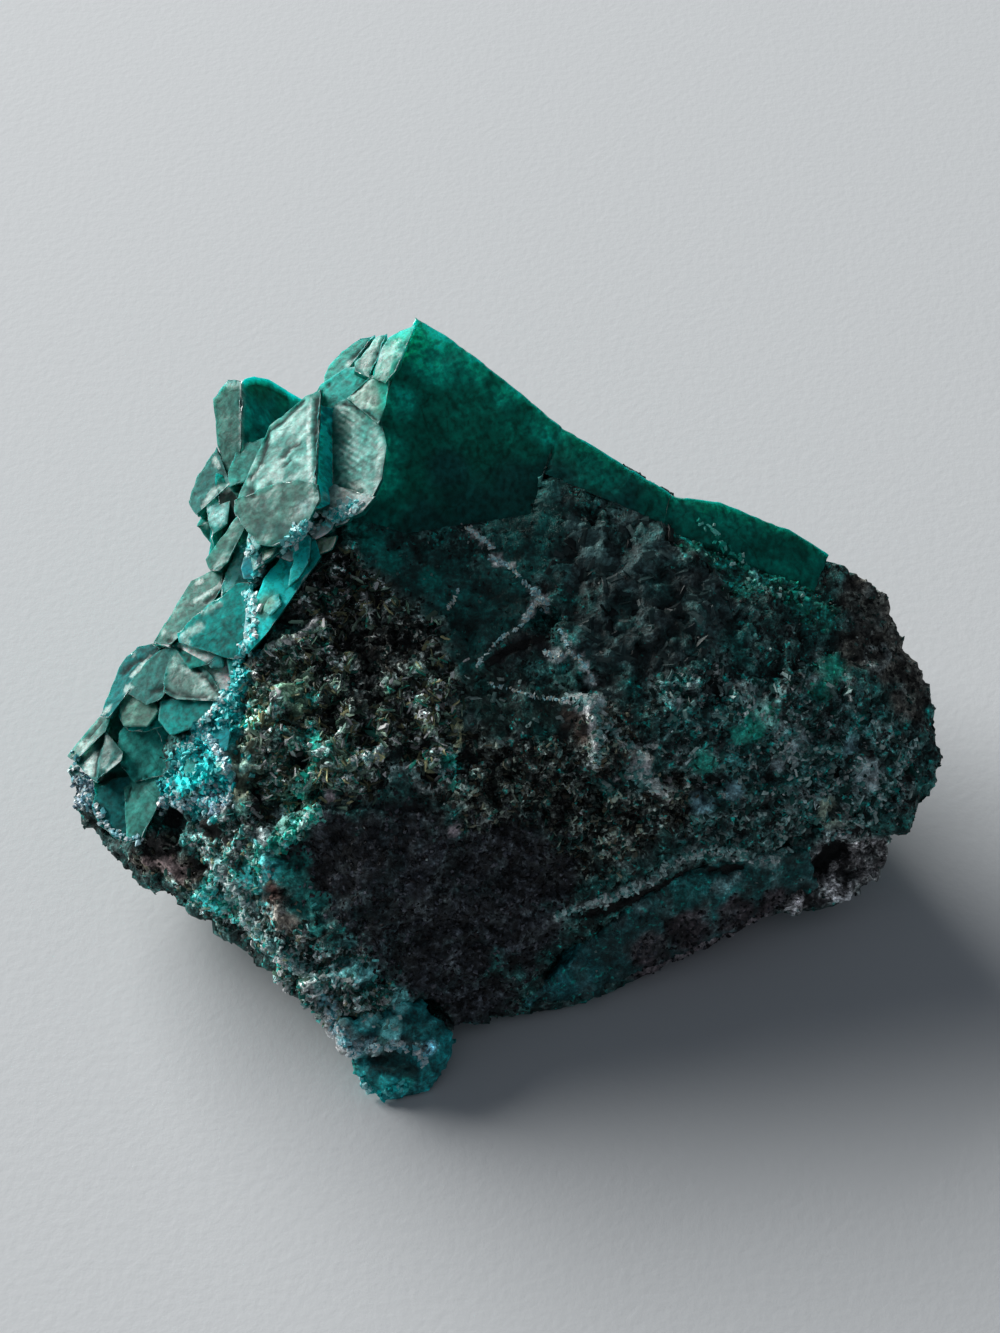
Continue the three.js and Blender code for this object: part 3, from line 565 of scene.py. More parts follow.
# Single patches and thin lines on the rock, coloured as they look in the shade of its front; in full light
# they are this many times as bright
shadeLift = 4.6
stoneMarks = {
    "cyanMass": ((10, 150, 158), [(222, 715, 1.0), (228, 738, 0.8), (190, 775, 1.2), (205, 765, 0.8)]),
    "whiteDruse": ((140, 172, 190), [(206, 800, 0.6), (222, 803, 0.5), (232, 785, 0.4), (165, 806, 0.6),
                                     (178, 800, 0.4), (230, 765, 0.35)]),
    "oliveLumps": ((75, 80, 66), [(240, 765, 1.2), (250, 745, 0.9), (235, 790, 0.8)]),
    "brownLumps": ((78, 66, 66), [(165, 862, 1.0), (180, 872, 0.7), (150, 858, 0.6)]),
    "greyGreen": ((108, 146, 134), [(262, 835, 0.9), (248, 828, 0.6), (280, 815, 0.5)]),
    "greenMass": ((38, 160, 142), [(256, 885, 1.1), (270, 865, 0.9), (262, 900, 0.7)]),
    "darkTeal": ((14, 78, 74), [(295, 880, 1.2), (305, 905, 1.2), (315, 930, 0.7), (300, 860, 0.8)]),
    "rimmedBrown": ((58, 40, 36), [(270, 893, 0.7), (262, 898, 0.4)]),
    "brownSlope": ((104, 98, 90), [(275, 915, 0.8), (290, 925, 0.7), (300, 940, 0.5)]),
    "tealLow": ((24, 134, 126), [(210, 895, 0.9), (225, 905, 0.8), (240, 925, 0.4)]),
    "tealNet": ((66, 132, 128), [(350, 965, 0.9), (365, 975, 0.8), (335, 975, 0.6), (350, 945, 0.6),
                                 (400, 1000, 0.8), (390, 1030, 0.8), (370, 1020, 0.6)]),
    "paleBlue": ((108, 152, 176), [(333, 1012, 0.5), (338, 1028, 0.6), (342, 1040, 0.5)]),
    "tealSpots": ((18, 116, 102), [(316, 740, 0.45), (306, 752, 0.4), (305, 800, 0.7), (312, 815, 0.6),
                                   (450, 760, 0.45), (455, 785, 0.3)]),
    "pinkLumps": ((120, 112, 116), [(330, 797, 0.45), (455, 830, 0.4)]),
    "veinKnots": ((130, 160, 165), [(497, 560, 0.4), (542, 600, 0.4), (531, 612, 0.35), (476, 534, 0.3)]),
    "blackWedge": ((8, 8, 11), [(520, 645, 1.0), (545, 650, 0.7), (500, 655, 0.5)]),
    "greyStreaks": ((36, 56, 56), [(590, 540, 1.1), (574, 524, 0.8), (606, 556, 0.8)]),
    "paleTeal": ((84, 152, 142), [(222, 868, 0.8), (236, 885, 0.7), (228, 905, 0.6), (246, 906, 0.5),
                                  (254, 926, 0.5)]),
    "paleGreens": ((80, 128, 114), [(292, 800, 0.7), (302, 786, 0.6), (281, 822, 0.7), (300, 814, 0.5),
                                    (240, 815, 0.6)]),
    "oliveGreens": ((68, 92, 74), [(290, 690, 0.8), (310, 680, 0.7), (300, 710, 0.7), (285, 668, 0.6)]),
    "underSlab": ((0, 72, 66), [(372, 540, 1.0), (390, 560, 1.0), (360, 525, 0.8), (430, 580, 0.8)]),
    "slabEnd": ((10, 44, 42), [(538, 478, 1.0), (545, 492, 1.0), (562, 482, 0.9), (520, 512, 1.0),
                               (500, 520, 0.7)]),
    # painted shade in the hollow of the foot
    "footHollow": ((4, 34, 34), [(396, 1062, 0.8), (408, 1070, 0.5), (384, 1062, 0.4)]),
    "footBright": ((26, 140, 134), [(365, 1088, 0.6), (405, 1088, 0.5), (384, 1082, 0.6), (360, 1075, 0.4)]),
    "paleGreen": ((110, 165, 148), [(556, 655, 0.45), (590, 680, 0.5), (585, 668, 0.3), (600, 700, 0.4)]),
    "brightCrusts": ((150, 170, 165), [(585, 708, 0.5), (600, 722, 0.4), (600, 742, 0.4), (640, 765, 0.6),
                                       (655, 790, 0.5), (670, 782, 0.3)]),
    "brownSpot": ((46, 38, 34), [(570, 722, 0.8), (582, 735, 0.6)]),
    "tealRight": ((20, 100, 88), [(825, 670, 1.0), (760, 715, 1.1), (740, 735, 0.8), (705, 765, 0.9)]),
    "greyClouds": ((98, 112, 114), [(790, 750, 0.7), (868, 775, 1.0), (805, 735, 0.5), (780, 765, 0.5)]),
    "paleOlive": ((92, 104, 92), [(835, 822, 0.9), (825, 805, 0.7)]),
    "blueClouds": ((70, 98, 104), [(700, 805, 0.8), (735, 790, 0.6), (850, 745, 0.7)]),
}
colorLines = {  # colour, width in mm, raised by mm, pixels
    "lilacLine": ((150, 175, 195), 0.3, 0.1, [(200, 722), (212, 742), (228, 762), (232, 785)]),
    "cyanEdge": ((60, 195, 195), 0.3, 0.1, [(240, 688), (222, 700), (208, 716), (196, 735)]),
    "curtain": ((120, 175, 175), 0.85, 0.5, [(222, 872), (238, 900), (256, 930), (282, 950), (300, 968),
                                             (320, 992)]),
    "curtainLow": ((126, 172, 188), 0.75, 0.45, [(320, 992), (332, 1010), (340, 1035), (352, 1050)]),
    "curtainBright": ((170, 205, 205), 0.3, 0.1, [(246, 925), (258, 938), (266, 950)]),
    "ledgeBright": ((60, 195, 178), 0.4, 0.3, [(285, 845), (296, 832), (308, 824)]),
    "ledgeLine": ((70, 160, 150), 0.4, 0.2, [(285, 845), (272, 855), (262, 848), (254, 862)]),
    "curtainUp": ((90, 160, 158), 0.5, 0.4, [(284, 818), (296, 792), (310, 770), (330, 748)]),
    "whiteStreak": ((190, 205, 200), 0.3, 0.25, [(338, 786), (350, 772), (356, 758)]),
    "whiteStreak2": ((180, 220, 215), 0.35, 0.25, [(364, 768), (370, 755), (380, 748)]),
    "rimLine": ((96, 124, 106), 0.28, 0.25, [(252, 652), (272, 645), (296, 636)]),
    "lipWhite": ((150, 165, 165), 0.4, 0.3, [(296, 640), (308, 630), (318, 618)]),
    "veinA": ((150, 178, 184), 0.2, 0.05, [(471, 531), (483, 541), (492, 548)]),
    "veinB": ((160, 188, 194), 0.22, 0.05, [(490, 556), (500, 563), (512, 566)]),
    "veinD": ((190, 216, 216), 0.3, 0.1, [(533, 590), (542, 600), (549, 611)]),
    "veinE": ((165, 200, 196), 0.24, 0.1, [(533, 604), (530, 613), (524, 620)]),
    "veinF": ((170, 200, 196), 0.14, 0.05, [(561, 630), (567, 644), (574, 656), (583, 660)]),
    "veinG": ((176, 208, 192), 0.16, 0.05, [(580, 656), (588, 670), (594, 684)]),
    "eye": ((170, 200, 188), 0.22, 0.05, [(546, 652), (555, 658), (563, 655)]),
    "crustA": ((170, 176, 158), 0.26, 0.15, [(566, 702), (582, 697), (590, 708)]),
    "crustB": ((160, 166, 148), 0.26, 0.15, [(586, 712), (592, 726), (596, 742), (590, 756)]),
    "crustC": ((128, 132, 116), 0.24, 0.15, [(608, 724), (622, 742), (640, 752), (652, 758)]),
    "crustD": ((150, 168, 160), 0.22, 0.15, [(618, 778), (640, 776), (660, 790), (668, 800)]),
    "oliveEdge": ((110, 112, 84), 0.28, 0.2, [(448, 712), (456, 722), (462, 736), (455, 750)]),
    "sparkleLine": ((70, 150, 128), 0.22, 0.1, [(748, 562), (756, 575), (766, 590)]),
    "rightEdge": ((96, 120, 118), 0.3, 0.15, [(905, 760), (893, 782), (880, 800), (866, 822)]),
}
# Blotches laid over any kind of surface: colour, size in mm, noise seed
blotchKinds = {
    "teal": ((0.0, 0.21, 0.19), 2.3, 51.0),
    "black": ((0.004, 0.007, 0.007), 1.7, 62.0),
    "cloud": ((0.26, 0.33, 0.33), 1.5, 73.0),
}
# The relief and tones of the rock. Noise is in layers of weight, size in mm and seed; cells are size and
# seed; heights are shares of the relief of the surface.
rockShape = {
    "voxel": 0.295 * mm,
    "grip": 0.5 * mm,                      # rock this near to a crystal is drawn up to it
    "overlap": 1.15,
    "fromCrystal": (0.35 * mm, 0.9 * mm),  # the relief fades in between these distances
    "fromGround": (0.15 * mm, 1.2 * mm),
    "waver": [(0.35, 1.6, 4.0), (0.25, 0.7, 9.0)],
    "lumps": [(0.45, 1.9, 5.0), (0.35, 4.5, 2.0)],
    "bend": (0.35, 1.1, (21.0, 33.0, 47.0)),   # how far the cells are pushed about, noise size, seeds
    "planeCells": (2.4 * mm, 3.0),
    "stepCells": (1.15 * mm, 1.0),
    "fineCells": (0.66 * mm, 7.0),
    "planes": 1.5,
    "steps": 0.9,
    "walls": 0.8,
    "wallMiddle": 0.45,
    "caverns": [(1.0, 1.4, 81.0), (0.5, 0.6, 84.0)],
    "cavernEdge": (0.05, 0.4),
    "cavernDepth": 1.2,
    "cavernBare": 0.7,                     # how far the net and crust go in a cavern, and how much painted shade darkens it
    "cavernShade": 0.75,
    "planeTone": 1.5,                      # how much the cells differ in brightness
    "stepTone": 1.2,
    "toneMiddle": 0.55,
    "blotchEdge": (0.05, 0.4),
    "blotchFine": 0.4,                     # size and weight of the finer noise in a blotch
    "blotchWeight": 0.45,
    "crests": (-0.4, 0.3),                 # heights between which the painted shade of the hollows fades out
    "hollowShade": 0.4,
    "grainLight": 0.8,                     # how closely loose grains follow the brightness of the rock, its painted shade included
}
cellWalls = {"large": (0.28, 0.04, 0.9), "fine": (0.3, 0.06, 0.5)}   # gap at the foot, gap at the top, weight
# Marks, lines and gaps: how far their edges waver, and how much of the net and crust, the pits, the contrast
# and the loose grains they take away
markLook = {"waver": 1.3, "soft": 0.3, "strength": 0.85, "calms": (0.5, 0.7, 0.5, 0.75)}
crustLines = {"waver": 0.7, "strength": 0.8, "most": 0.9, "brush": [(0.6, 0.5, 17.0)], "middle": 0.75}
tintLines = {"waver": 0.6, "strength": 1.2, "most": 0.95, "calms": (0.0, 1.0, 0.5, 0.8)}
# how much painted shade darkens a gap
gapLook = {"waver": 0.4, "bare": 0.85, "dark": 0.8}
crustColor = (0.74, 0.86, 0.84, 1)
fleckColor = (0.01, 0.52, 0.46, 1)
# the near-black of the pits is painted shade
pitShadeColor = (0.003, 0.004, 0.004, 1)


def calm(look, finish, share, weight, calms):
    bare, pits, contrast, grains = calms
    look["amounts"] *= 1 - bare * weight[:, None]
    finish["pits"] *= 1 - pits * weight
    finish["contrast"] *= 1 - contrast * weight
    for under in share.values():
        under *= 1 - grains * weight


def wallAt(gap, kind):
    foot, top, weight = cellWalls[kind]
    return smoothStep(foot, top, gap) * weight


def dressStone(piece, kinds, grown):
    # grown: drawn up to the crystals that stand in it
    mesh = piece.data
    points, normals = cornersOf(mesh)
    waver = noiseSum(points, rockShape["waver"])

    # what kind of surface each corner has
    count = len(points)
    look = {key: np.zeros((count, 3)) for key in ("tint", "net", "amounts", "blotches")}
    finish = {key: np.zeros(count) for key in ("pits", "gloss", "contrast", "hollows", "relief")}
    share = {}
    for name, kind in kinds.items():
        weight = patch(points, kind["spots"], waver) if kind["spots"] else np.ones(count)
        for under in share.values():
            under *= 1 - weight
        share[name] = weight.copy()
        for key in look:
            look[key] = blended(look[key], kind[key], weight)
        for key in finish:
            finish[key] += (kind[key] - finish[key]) * weight
    tint, amounts, relief = look["tint"], look["amounts"], finish["relief"]
    ground = tint.sum(axis=1) + 0.01

    # how near each corner is to a crystal, and the way there
    reach = np.full(count, 1.0)
    toCrystal = np.zeros((count, 3))
    if grown:
        for i, p in enumerate(points):
            spot, _, _, away = greenGrowth.find_nearest(Vector(p))
            reach[i] = away
            toCrystal[i] = np.array(spot) - p
    free = smoothStep(*rockShape["fromCrystal"], reach)
    lowDown = smoothStep(*rockShape["fromGround"], points[:, 2])

    # lumps, cell walls and grain
    warped = pushedAbout(points, *rockShape["bend"])
    planes, _, ownPlane = brokenAt(warped, *rockShape["planeCells"])
    steps, gap, ownStep = brokenAt(warped, *rockShape["stepCells"])
    _, gapFine, _ = brokenAt(warped, *rockShape["fineCells"])
    wall = wallAt(gap, "large") + wallAt(gapFine, "fine")
    push = noiseSum(points, rockShape["lumps"]) + rockShape["planes"] * planes + rockShape["steps"] * steps
    push += rockShape["walls"] * amounts[:, 0] * (wall - rockShape["wallMiddle"])
    cavern = smoothStep(*rockShape["cavernEdge"], noiseSum(points, rockShape["caverns"]))
    cavern *= finish["hollows"]
    push = (push - rockShape["cavernDepth"] * cavern) * relief
    amounts *= 1 - rockShape["cavernBare"] * cavern[:, None]
    tone = rockShape["planeTone"] * (ownPlane - rockShape["toneMiddle"])
    tone = tone + rockShape["stepTone"] * (ownStep - rockShape["toneMiddle"])
    tint *= np.exp(finish["contrast"] * tone)[:, None]

    for i, (color, size, seed) in enumerate(blotchKinds.values()):
        fineSize = rockShape["blotchFine"] * size
        field = noiseSum(points, [(1.0, size, seed), (rockShape["blotchWeight"], fineSize, seed + 3)])
        tint = blended(tint, color, smoothStep(*rockShape["blotchEdge"], field) * look["blotches"][:, i])
    # painted shade in the caverns
    tint *= 1 - rockShape["cavernShade"] * cavern[:, None]
    for color, spots in stoneMarks.values():
        weight = patch(points, spots, markLook["waver"] * waver, markLook["soft"])
        tint = blended(tint, inFullLight(color), markLook["strength"] * weight)
        calm(look, finish, share, weight, markLook["calms"])
    painted = np.zeros(count)
    brushed = crustLines["middle"] + noiseSum(points, crustLines["brush"])
    for line, width, crust, raised in rockLines.values():
        weight = alongLine(points, line, width, crustLines["waver"] * waver)
        amounts[:, 2] = np.maximum(amounts[:, 2], weight * crust * crustLines["strength"])
        painted = np.maximum(painted, weight * crust * brushed)
        push += weight * raised
    tint = blended(tint, lineColor, np.clip(painted, 0, crustLines["most"]))
    for color, width, raised, line in colorLines.values():
        weight = alongLine(points, line, width, tintLines["waver"] * waver) * brushed * tintLines["strength"]
        weight = np.clip(weight, 0, tintLines["most"])
        tint = blended(tint, inFullLight(color), weight)
        push += weight * raised
        calm(look, finish, share, weight, tintLines["calms"])
    # gaps: sunk, pitted, stripped of net and crust, and darkened with painted shade
    for line, width, depth in rockGaps.values():
        weight = alongLine(points, line, width, gapLook["waver"] * waver)
        push -= weight * depth
        finish["pits"] = np.maximum(finish["pits"], weight)
        amounts *= 1 - gapLook["bare"] * weight[:, None]
        tint *= 1 - gapLook["dark"] * weight[:, None]

    points += normals * (push * free * lowDown * mm)[:, None]
    gripped = reach < rockShape["grip"]
    points[gripped] += toCrystal[gripped] * rockShape["overlap"]
    points[:, 2] = np.maximum(points[:, 2], 0)
    setCorners(mesh, points)

    # painted shade: hollows darker than crests
    tint *= rockShape["hollowShade"] + smoothStep(*rockShape["crests"], push)[:, None]
    paintCorners(mesh, "tint", tint)
    paintCorners(mesh, "net", look["net"])
    paintCorners(mesh, "amounts", np.clip(amounts, 0, 1))
    finishes = np.stack([finish[key] for key in ("gloss", "pits", "contrast")], axis=1)
    paintCorners(mesh, "finish", np.clip(finishes, 0, 1))
    smoothFaces(mesh)
    share["crust"] = amounts[:, 2] ** 2
    # the grains take on the rock's tone, with the painted shade of its hollows, caverns and gaps
    share["light"] = np.clip((tint.sum(axis=1) + 0.01) / ground, 0.1, 2.0) ** rockShape["grainLight"]
    return share


# The fine grain of the rock. Noise is scale, detail and roughness; a pattern is how far its noise is shifted,
# the noise, how soft its edge is, and how strongly it covers.
crustLook = {
    "bend": (900.0, 0.55 * mm),
    "fine": (3300.0, 4.0, 0.65),
    "middle": (1000.0, 5.0, 0.6),
    "grains": 2100.0,
    "fineTone": 9.0,             # how much the brightness differs, and how that grows with the contrast
    "middleTone": 7.0,
    "toneGain": (0.7, 0.3),
    "grainTone": (2.2, -1.2),
    "walls": ((520.0, 0.045, 1.2), (1500.0, 0.1, 0.9), (3100.0, 0.16, 0.6)),   # scale, thickness, strength
    "wallTop": 0.02,
    "wallGaps": (0.42, 0.6),
    # pits covered in near-black painted shade
    "pits": ((0.02, 0.01, 0.0), (1400.0, 4.0, 0.6), 0.2, 0.9),
    "flecks": ((0.0, 0.03, 0.01), (1700.0, 5.0, 0.65), 0.25, 0.85),
    "crusts": ((0.03, 0.0, 0.02), (1500.0, 6.0, 0.7), 0.16, 0.9),
    "crustTone": (0.3, 0.6, 0.35, 1.1),
    "roughness": (0.75, 0.3),    # dull, glossy
    "specular": 0.35,
    "wallHeight": 0.8,
    "fineHeight": 0.9,
    "crustHeight": 0.5,
    "pitHeight": -0.8,
    "bump": (1.0, 0.16 * mm),
}


def crustedStone(name):
    material, tree, shader, _ = newMaterial(name)
    place = placeNode(tree)
    netAmount, fleckAmount, crustAmount = splitNode(tree, attributeNode(tree, "amounts"))
    gloss, pits, contrast = splitNode(tree, attributeNode(tree, "finish"))
    tint, netTint = attributeNode(tree, "tint"), attributeNode(tree, "net")

    warped = warpedNode(tree, place, *crustLook["bend"])
    fine = noiseNode(tree, warped, *crustLook["fine"])
    middle = noiseNode(tree, place, *crustLook["middle"])

    # grains of their own brightness, light and dark spread in even steps, wider where the contrast is high
    grain = addNode(tree, "ShaderNodeTexVoronoi", {"Vector": warped, "Scale": crustLook["grains"]})
    spread = mathNode(tree, "ADD", centredNode(tree, fine, crustLook["fineTone"]),
                      centredNode(tree, middle, crustLook["middleTone"]))
    spread = timesNode(tree, spread, mathNode(tree, "MULTIPLY_ADD", contrast, *crustLook["toneGain"]))
    ownTone = splitNode(tree, grain.outputs["Color"])[0]
    ownTone = mathNode(tree, "MULTIPLY_ADD", ownTone, *crustLook["grainTone"])
    grained = timesNode(tree, ownTone, timesNode(tree, contrast, contrast))
    shade = mathNode(tree, "EXPONENT", mathNode(tree, "ADD", spread, grained))

    # a net of thin pale walls around small cells, broken up by noise
    walls = []
    for scale, thick, strength in crustLook["walls"]:
        edge = wallNode(tree, warped, scale)
        walls.append(rangeNode(tree, edge, thick, crustLook["wallTop"], 0.0, strength))
    wall = mathNode(tree, "MAXIMUM", walls[0], mathNode(tree, "MAXIMUM", walls[1], walls[2]))
    broken = rangeNode(tree, middle, *crustLook["wallGaps"])
    wall = timesNode(tree, timesNode(tree, wall, broken), netAmount)
    color = shadedNode(tree, tint, shade)
    color = mixNode(tree, wall, color, shadedNode(tree, netTint, shade))

    # pits in near-black painted shade, green flecks and pale crusts, one over the other
    crustShade = rangeNode(tree, fine, *crustLook["crustTone"])
    covers = {}
    for key, at, amount, cover in (("pits", warped, pits, pitShadeColor),
                                   ("flecks", place, fleckAmount, shadedNode(tree, fleckColor, shade)),
                                   ("crusts", warped, crustAmount, shadedNode(tree, crustColor, crustShade))):
        shift, pattern, soft, strength = crustLook[key]
        shifted = vectorNode(tree, "ADD", at, shift)
        covers[key] = coverNode(tree, noiseNode(tree, shifted, *pattern), amount, soft)
        color = mixNode(tree, timesNode(tree, covers[key], strength), color, cover)
    tree.links.new(color, shader.inputs["Base Color"])
    tree.links.new(rangeNode(tree, gloss, 0.0, 1.0, *crustLook["roughness"]), shader.inputs["Roughness"])
    shader.inputs["Specular IOR Level"].default_value = crustLook["specular"]

    height = timesNode(tree, fine, crustLook["fineHeight"])
    for relief, rise in ((wall, "wallHeight"), (covers["crusts"], "crustHeight"),
                         (covers["pits"], "pitHeight")):
        height = mathNode(tree, "MULTIPLY_ADD", relief, crustLook[rise], height)
    bumpSurface(tree, shader, height, *crustLook["bump"])
    return material


def addStone(node, name, kinds, material, grown=False):
    piece = copyNode(node, name)
    voxelRemesh(piece, rockShape["voxel"])
    share = dressStone(piece, kinds, grown)
    piece.data.materials.append(material)
    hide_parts(node)
    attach(piece, "root")
    print(name + ":", len(piece.data.polygons), "faces")
    return piece, share


rock, rockShare = addStone("host_rock", "rock", rockKinds, crustedStone("host rock"), grown=True)


crystalLook = {
    "edge": 0.12 * mm,
    "grain": 0.39 * mm,      # longest edge after subdivision
    "ripple": 0.045,         # mm
    "chips": 0.13,           # how deep the edges are chipped, mm
    "ior": 1.66,
    "dull": 0.75,            # roughness of the deep green faces and of the pale ones
    "satin": 0.34,
    "specular": 0.02,
    "transmission": 0.25,
    "glow": 0.5,             # share of the light that spreads under the surface, and how far
    "glowDepth": 2.0 * mm,
    "depthColor": (0.02, 0.60, 0.48, 1),
    "density": 420.0,
    "streakTurn": (math.radians(-25), math.radians(20), math.radians(-35)),
    "streakScale": (2400.0, 2400.0, 260.0),
    "sides": (0, 118, 108),    # the flanks that run down between the crystals
    "rims": 0.8,            # how strongly the bevelled edges get a painted highlight
    "rimColor": (196, 230, 222),
    "deepColor": (0, 122, 114),
    "borders": 0.6,          # how strongly deeper green shows as painted shade along borders, and in clouds
    "clouds": 0.4,
    "milk": 0.25,
    "crackColor": (0.25, 0.45, 0.42, 1),
    "scatter": (0.15, 1.0, 0.85),   # how far red, green and blue light spread, as shares of the glow's depth
    "cleft": 0.1,            # depth of the shaded clefts, mm
}
# The grain of the crystals. Noise is scale, detail and roughness, bends are scale and amount, and tones are
# the noise from and to, and the brightness there.
crystalGrain = {
    "clouds": (420.0, 5.0, 0.6),
    "cloudTone": (0.3, 0.7, 0.72, 1.25, "LINEAR"),
    "fineBend": (900.0, 0.5 * mm),
    "fine": (2600.0, 4.0, 0.6),
    "fineTone": (0.3, 0.7, 0.85, 1.15, "LINEAR"),
    "streakBend": (300.0, 0.5 * mm),
    "streaks": (1.0, 3.0, 0.6),
    "streakTone": (0.35, 0.65, 0.55, 1.45, "LINEAR"),
    "stepBend": (420.0, 0.5 * mm),
    "stepPatches": (0.35, 0.6, 0.3, 1.0),
    "stepTone": 0.19,
    "crackBend": (350.0, 1.6 * mm),
    "cracks": 420.0,
    "crackTone": (0.035, 0.005, 0.0, 0.6),
    "crackField": 260.0,
    "crackPatches": (0.5, 0.62),
    "palest": 0.15,              # red at which a face counts as pale
    "glossTone": (0.35, 0.65, -0.08, 0.08, "LINEAR"),
    "fineHeight": 0.5,
    "streakHeight": 0.8,
    "stepHeight": 0.25,
    "bump": (0.5, 0.1 * mm),
}
# The shades of green that the crystals share. The pale ones are partly painted sheen, the window's reflection
# on a face; "lit" is a painted glow of light through the crystal on faces in shade, and "dark" painted shade
crystalShades = {
    "sheenWhite": (240, 250, 250),
    "pale": (180, 220, 205),
    "cyan": (150, 250, 245),
    "sea": (110, 195, 190),
    "mint": (120, 165, 155),
    "aqua": (85, 160, 150),
    "sage": (70, 125, 115),
    "moss": (45, 115, 110),
    "jade": (50, 140, 130),
    "spring": (45, 170, 160),
    "lagoon": (0, 170, 165),
    "teal": (0, 140, 135),
    "deep": (10, 110, 110),
    "lit": (20, 240, 235),
    "dark": (0, 40, 35),
}
# The faces that the crystals show: shade, and pixels that lie on them
crystalFaces = {
    "summitBar": ("sheenWhite", [(390, 362)]),
    "summitStep": ("pale", [(375, 398)]),
    "innerBar": ("mint", [(366, 360)]),
    "outerBar": ("jade", [(345, 362)]),
    "saddle": ("spring", [(330, 398)]),
    "stripedPlate": ("aqua", [(355, 450)]),
    "stripedFoot": ("sheenWhite", [(345, 505)]),
    "palePlate": ("aqua", [(285, 450)]),
    "paleFoot": ("sage", [(275, 520)]),
    "riser": ("lit", [(322, 455)]),
    "twinLeft": ("sage", [(228, 430)]),
    "twinRight": ("lagoon", [(262, 395)]),
    "twinLow": ("jade", [(252, 452)]),
    "upperSpur": ("moss", [(205, 478), (225, 470)]),
    "lowerSpur": ("sea", [(218, 505)]),
    "spurSide": ("dark", [(233, 500)]),
    "innerSliver": ("sage", [(225, 548)]),
    "nest": ("cyan", [(248, 545), (262, 552)]),
    "glossyStripe": ("lit", [(285, 580)]),
    "tealCrystal": ("teal", [(225, 610)]),
    "outerSliver": ("sage", [(190, 600)]),
    "fanCrown": ("sheenWhite", [(195, 652)]),
    "fanRight": ("sheenWhite", [(215, 675)]),
    "fanMiddle": ("mint", [(195, 682)]),
    "fanLeft": ("moss", [(150, 682)]),
    "shelf": ("teal", [(200, 710)]),
    "shoulder": ("lagoon", [(137, 708)]),
    "darkPlate": ("spring", [(150, 745)]),
    "groove": ("deep", [(110, 705), (112, 715)]),
    "leaf": ("moss", [(108, 748), (100, 750)]),
    "rimLeaf": ("mint", [(85, 735)]),
    "lowPlate": ("jade", [(150, 792)]),
    "lowHollow": ("deep", [(108, 786)]),
}
# Broad glow and shade across faces, last on top: colour, share, spots (pixel, pixel, radius in mm)
crystalPatches = {
    "slab": ((0, 138, 117), 1.0, [(440, 400, 5), (500, 420, 5), (460, 470, 5), (540, 450, 4.5),
                                  (480, 360, 3)]),
    "slabGlow": ((0, 210, 184), 0.9, [(418, 345, 2.2), (440, 352, 2.2), (465, 365, 1.6), (398, 400, 1.2),
                                      (388, 450, 1.2), (384, 480, 1.1), (510, 395, 1.2), (548, 425, 1.4)]),
    "slabLow": ((18, 92, 88), 0.95, [(480, 520, 3.4), (430, 530, 2.2), (520, 500, 2.8), (560, 490, 2.6),
                                     (600, 510, 2), (640, 510, 1.6), (450, 470, 1.6)]),
    "strip": ((0, 148, 130), 0.95, [(600, 470, 1.6), (660, 500, 1.6), (700, 515, 1.8), (730, 525, 1.8),
                                    (770, 545, 1.8), (800, 565, 1.8), (825, 585, 1.4)]),
    "twinGlow": ((0, 100, 94), 0.8, [(252, 432, 0.9)]),
    "plateFoot": ((168, 186, 176), 0.6, [(352, 492, 0.9)]),
    "plateTop": ((96, 142, 130), 0.5, [(352, 418, 1.1)]),
    "riserTop": ((0, 140, 150), 0.8, [(328, 412, 0.6), (322, 418, 0.4)]),
    "footRight": ((96, 160, 160), 0.7, [(303, 508, 0.6)]),
    "stripeFoot": ((92, 136, 110), 0.8, [(266, 606, 0.9)]),
    "bodyShade": ((18, 80, 76), 0.5, [(325, 400, 0.4)]),
    "druseGlow": ((170, 240, 240), 0.8, [(286, 548, 0.5), (300, 532, 0.5), (318, 522, 0.5), (336, 515, 0.5),
                                         (354, 506, 0.5), (256, 560, 0.4), (252, 605, 0.4), (252, 625, 0.4),
                                         (246, 648, 0.4)]),
    "cyanGlow": ((20, 214, 214), 0.8, [(238, 662, 0.5), (238, 685, 0.5), (230, 708, 0.6), (214, 724, 0.6),
                                       (198, 738, 0.5), (182, 754, 0.5)]),
    "footPale": ((100, 132, 124), 0.6, [(262, 500, 0.7), (296, 512, 0.6)]),
    "footDim": ((40, 92, 92), 0.5, [(280, 530, 0.6), (262, 528, 0.5)]),
    "twinDark": ((0, 132, 112), 0.8, [(262, 392, 1.0), (282, 402, 0.8), (252, 388, 0.6), (275, 415, 0.5)]),
    "twinBright": ((0, 206, 194), 0.7, [(248, 425, 0.5), (254, 438, 0.5), (247, 408, 0.3)]),
    "riserLow": ((20, 254, 244), 0.6, [(324, 482, 0.5), (322, 465, 0.4)]),
    "riserHigh": ((0, 110, 104), 0.7, [(318, 428, 0.5), (330, 432, 0.3), (317, 440, 0.3)]),
}
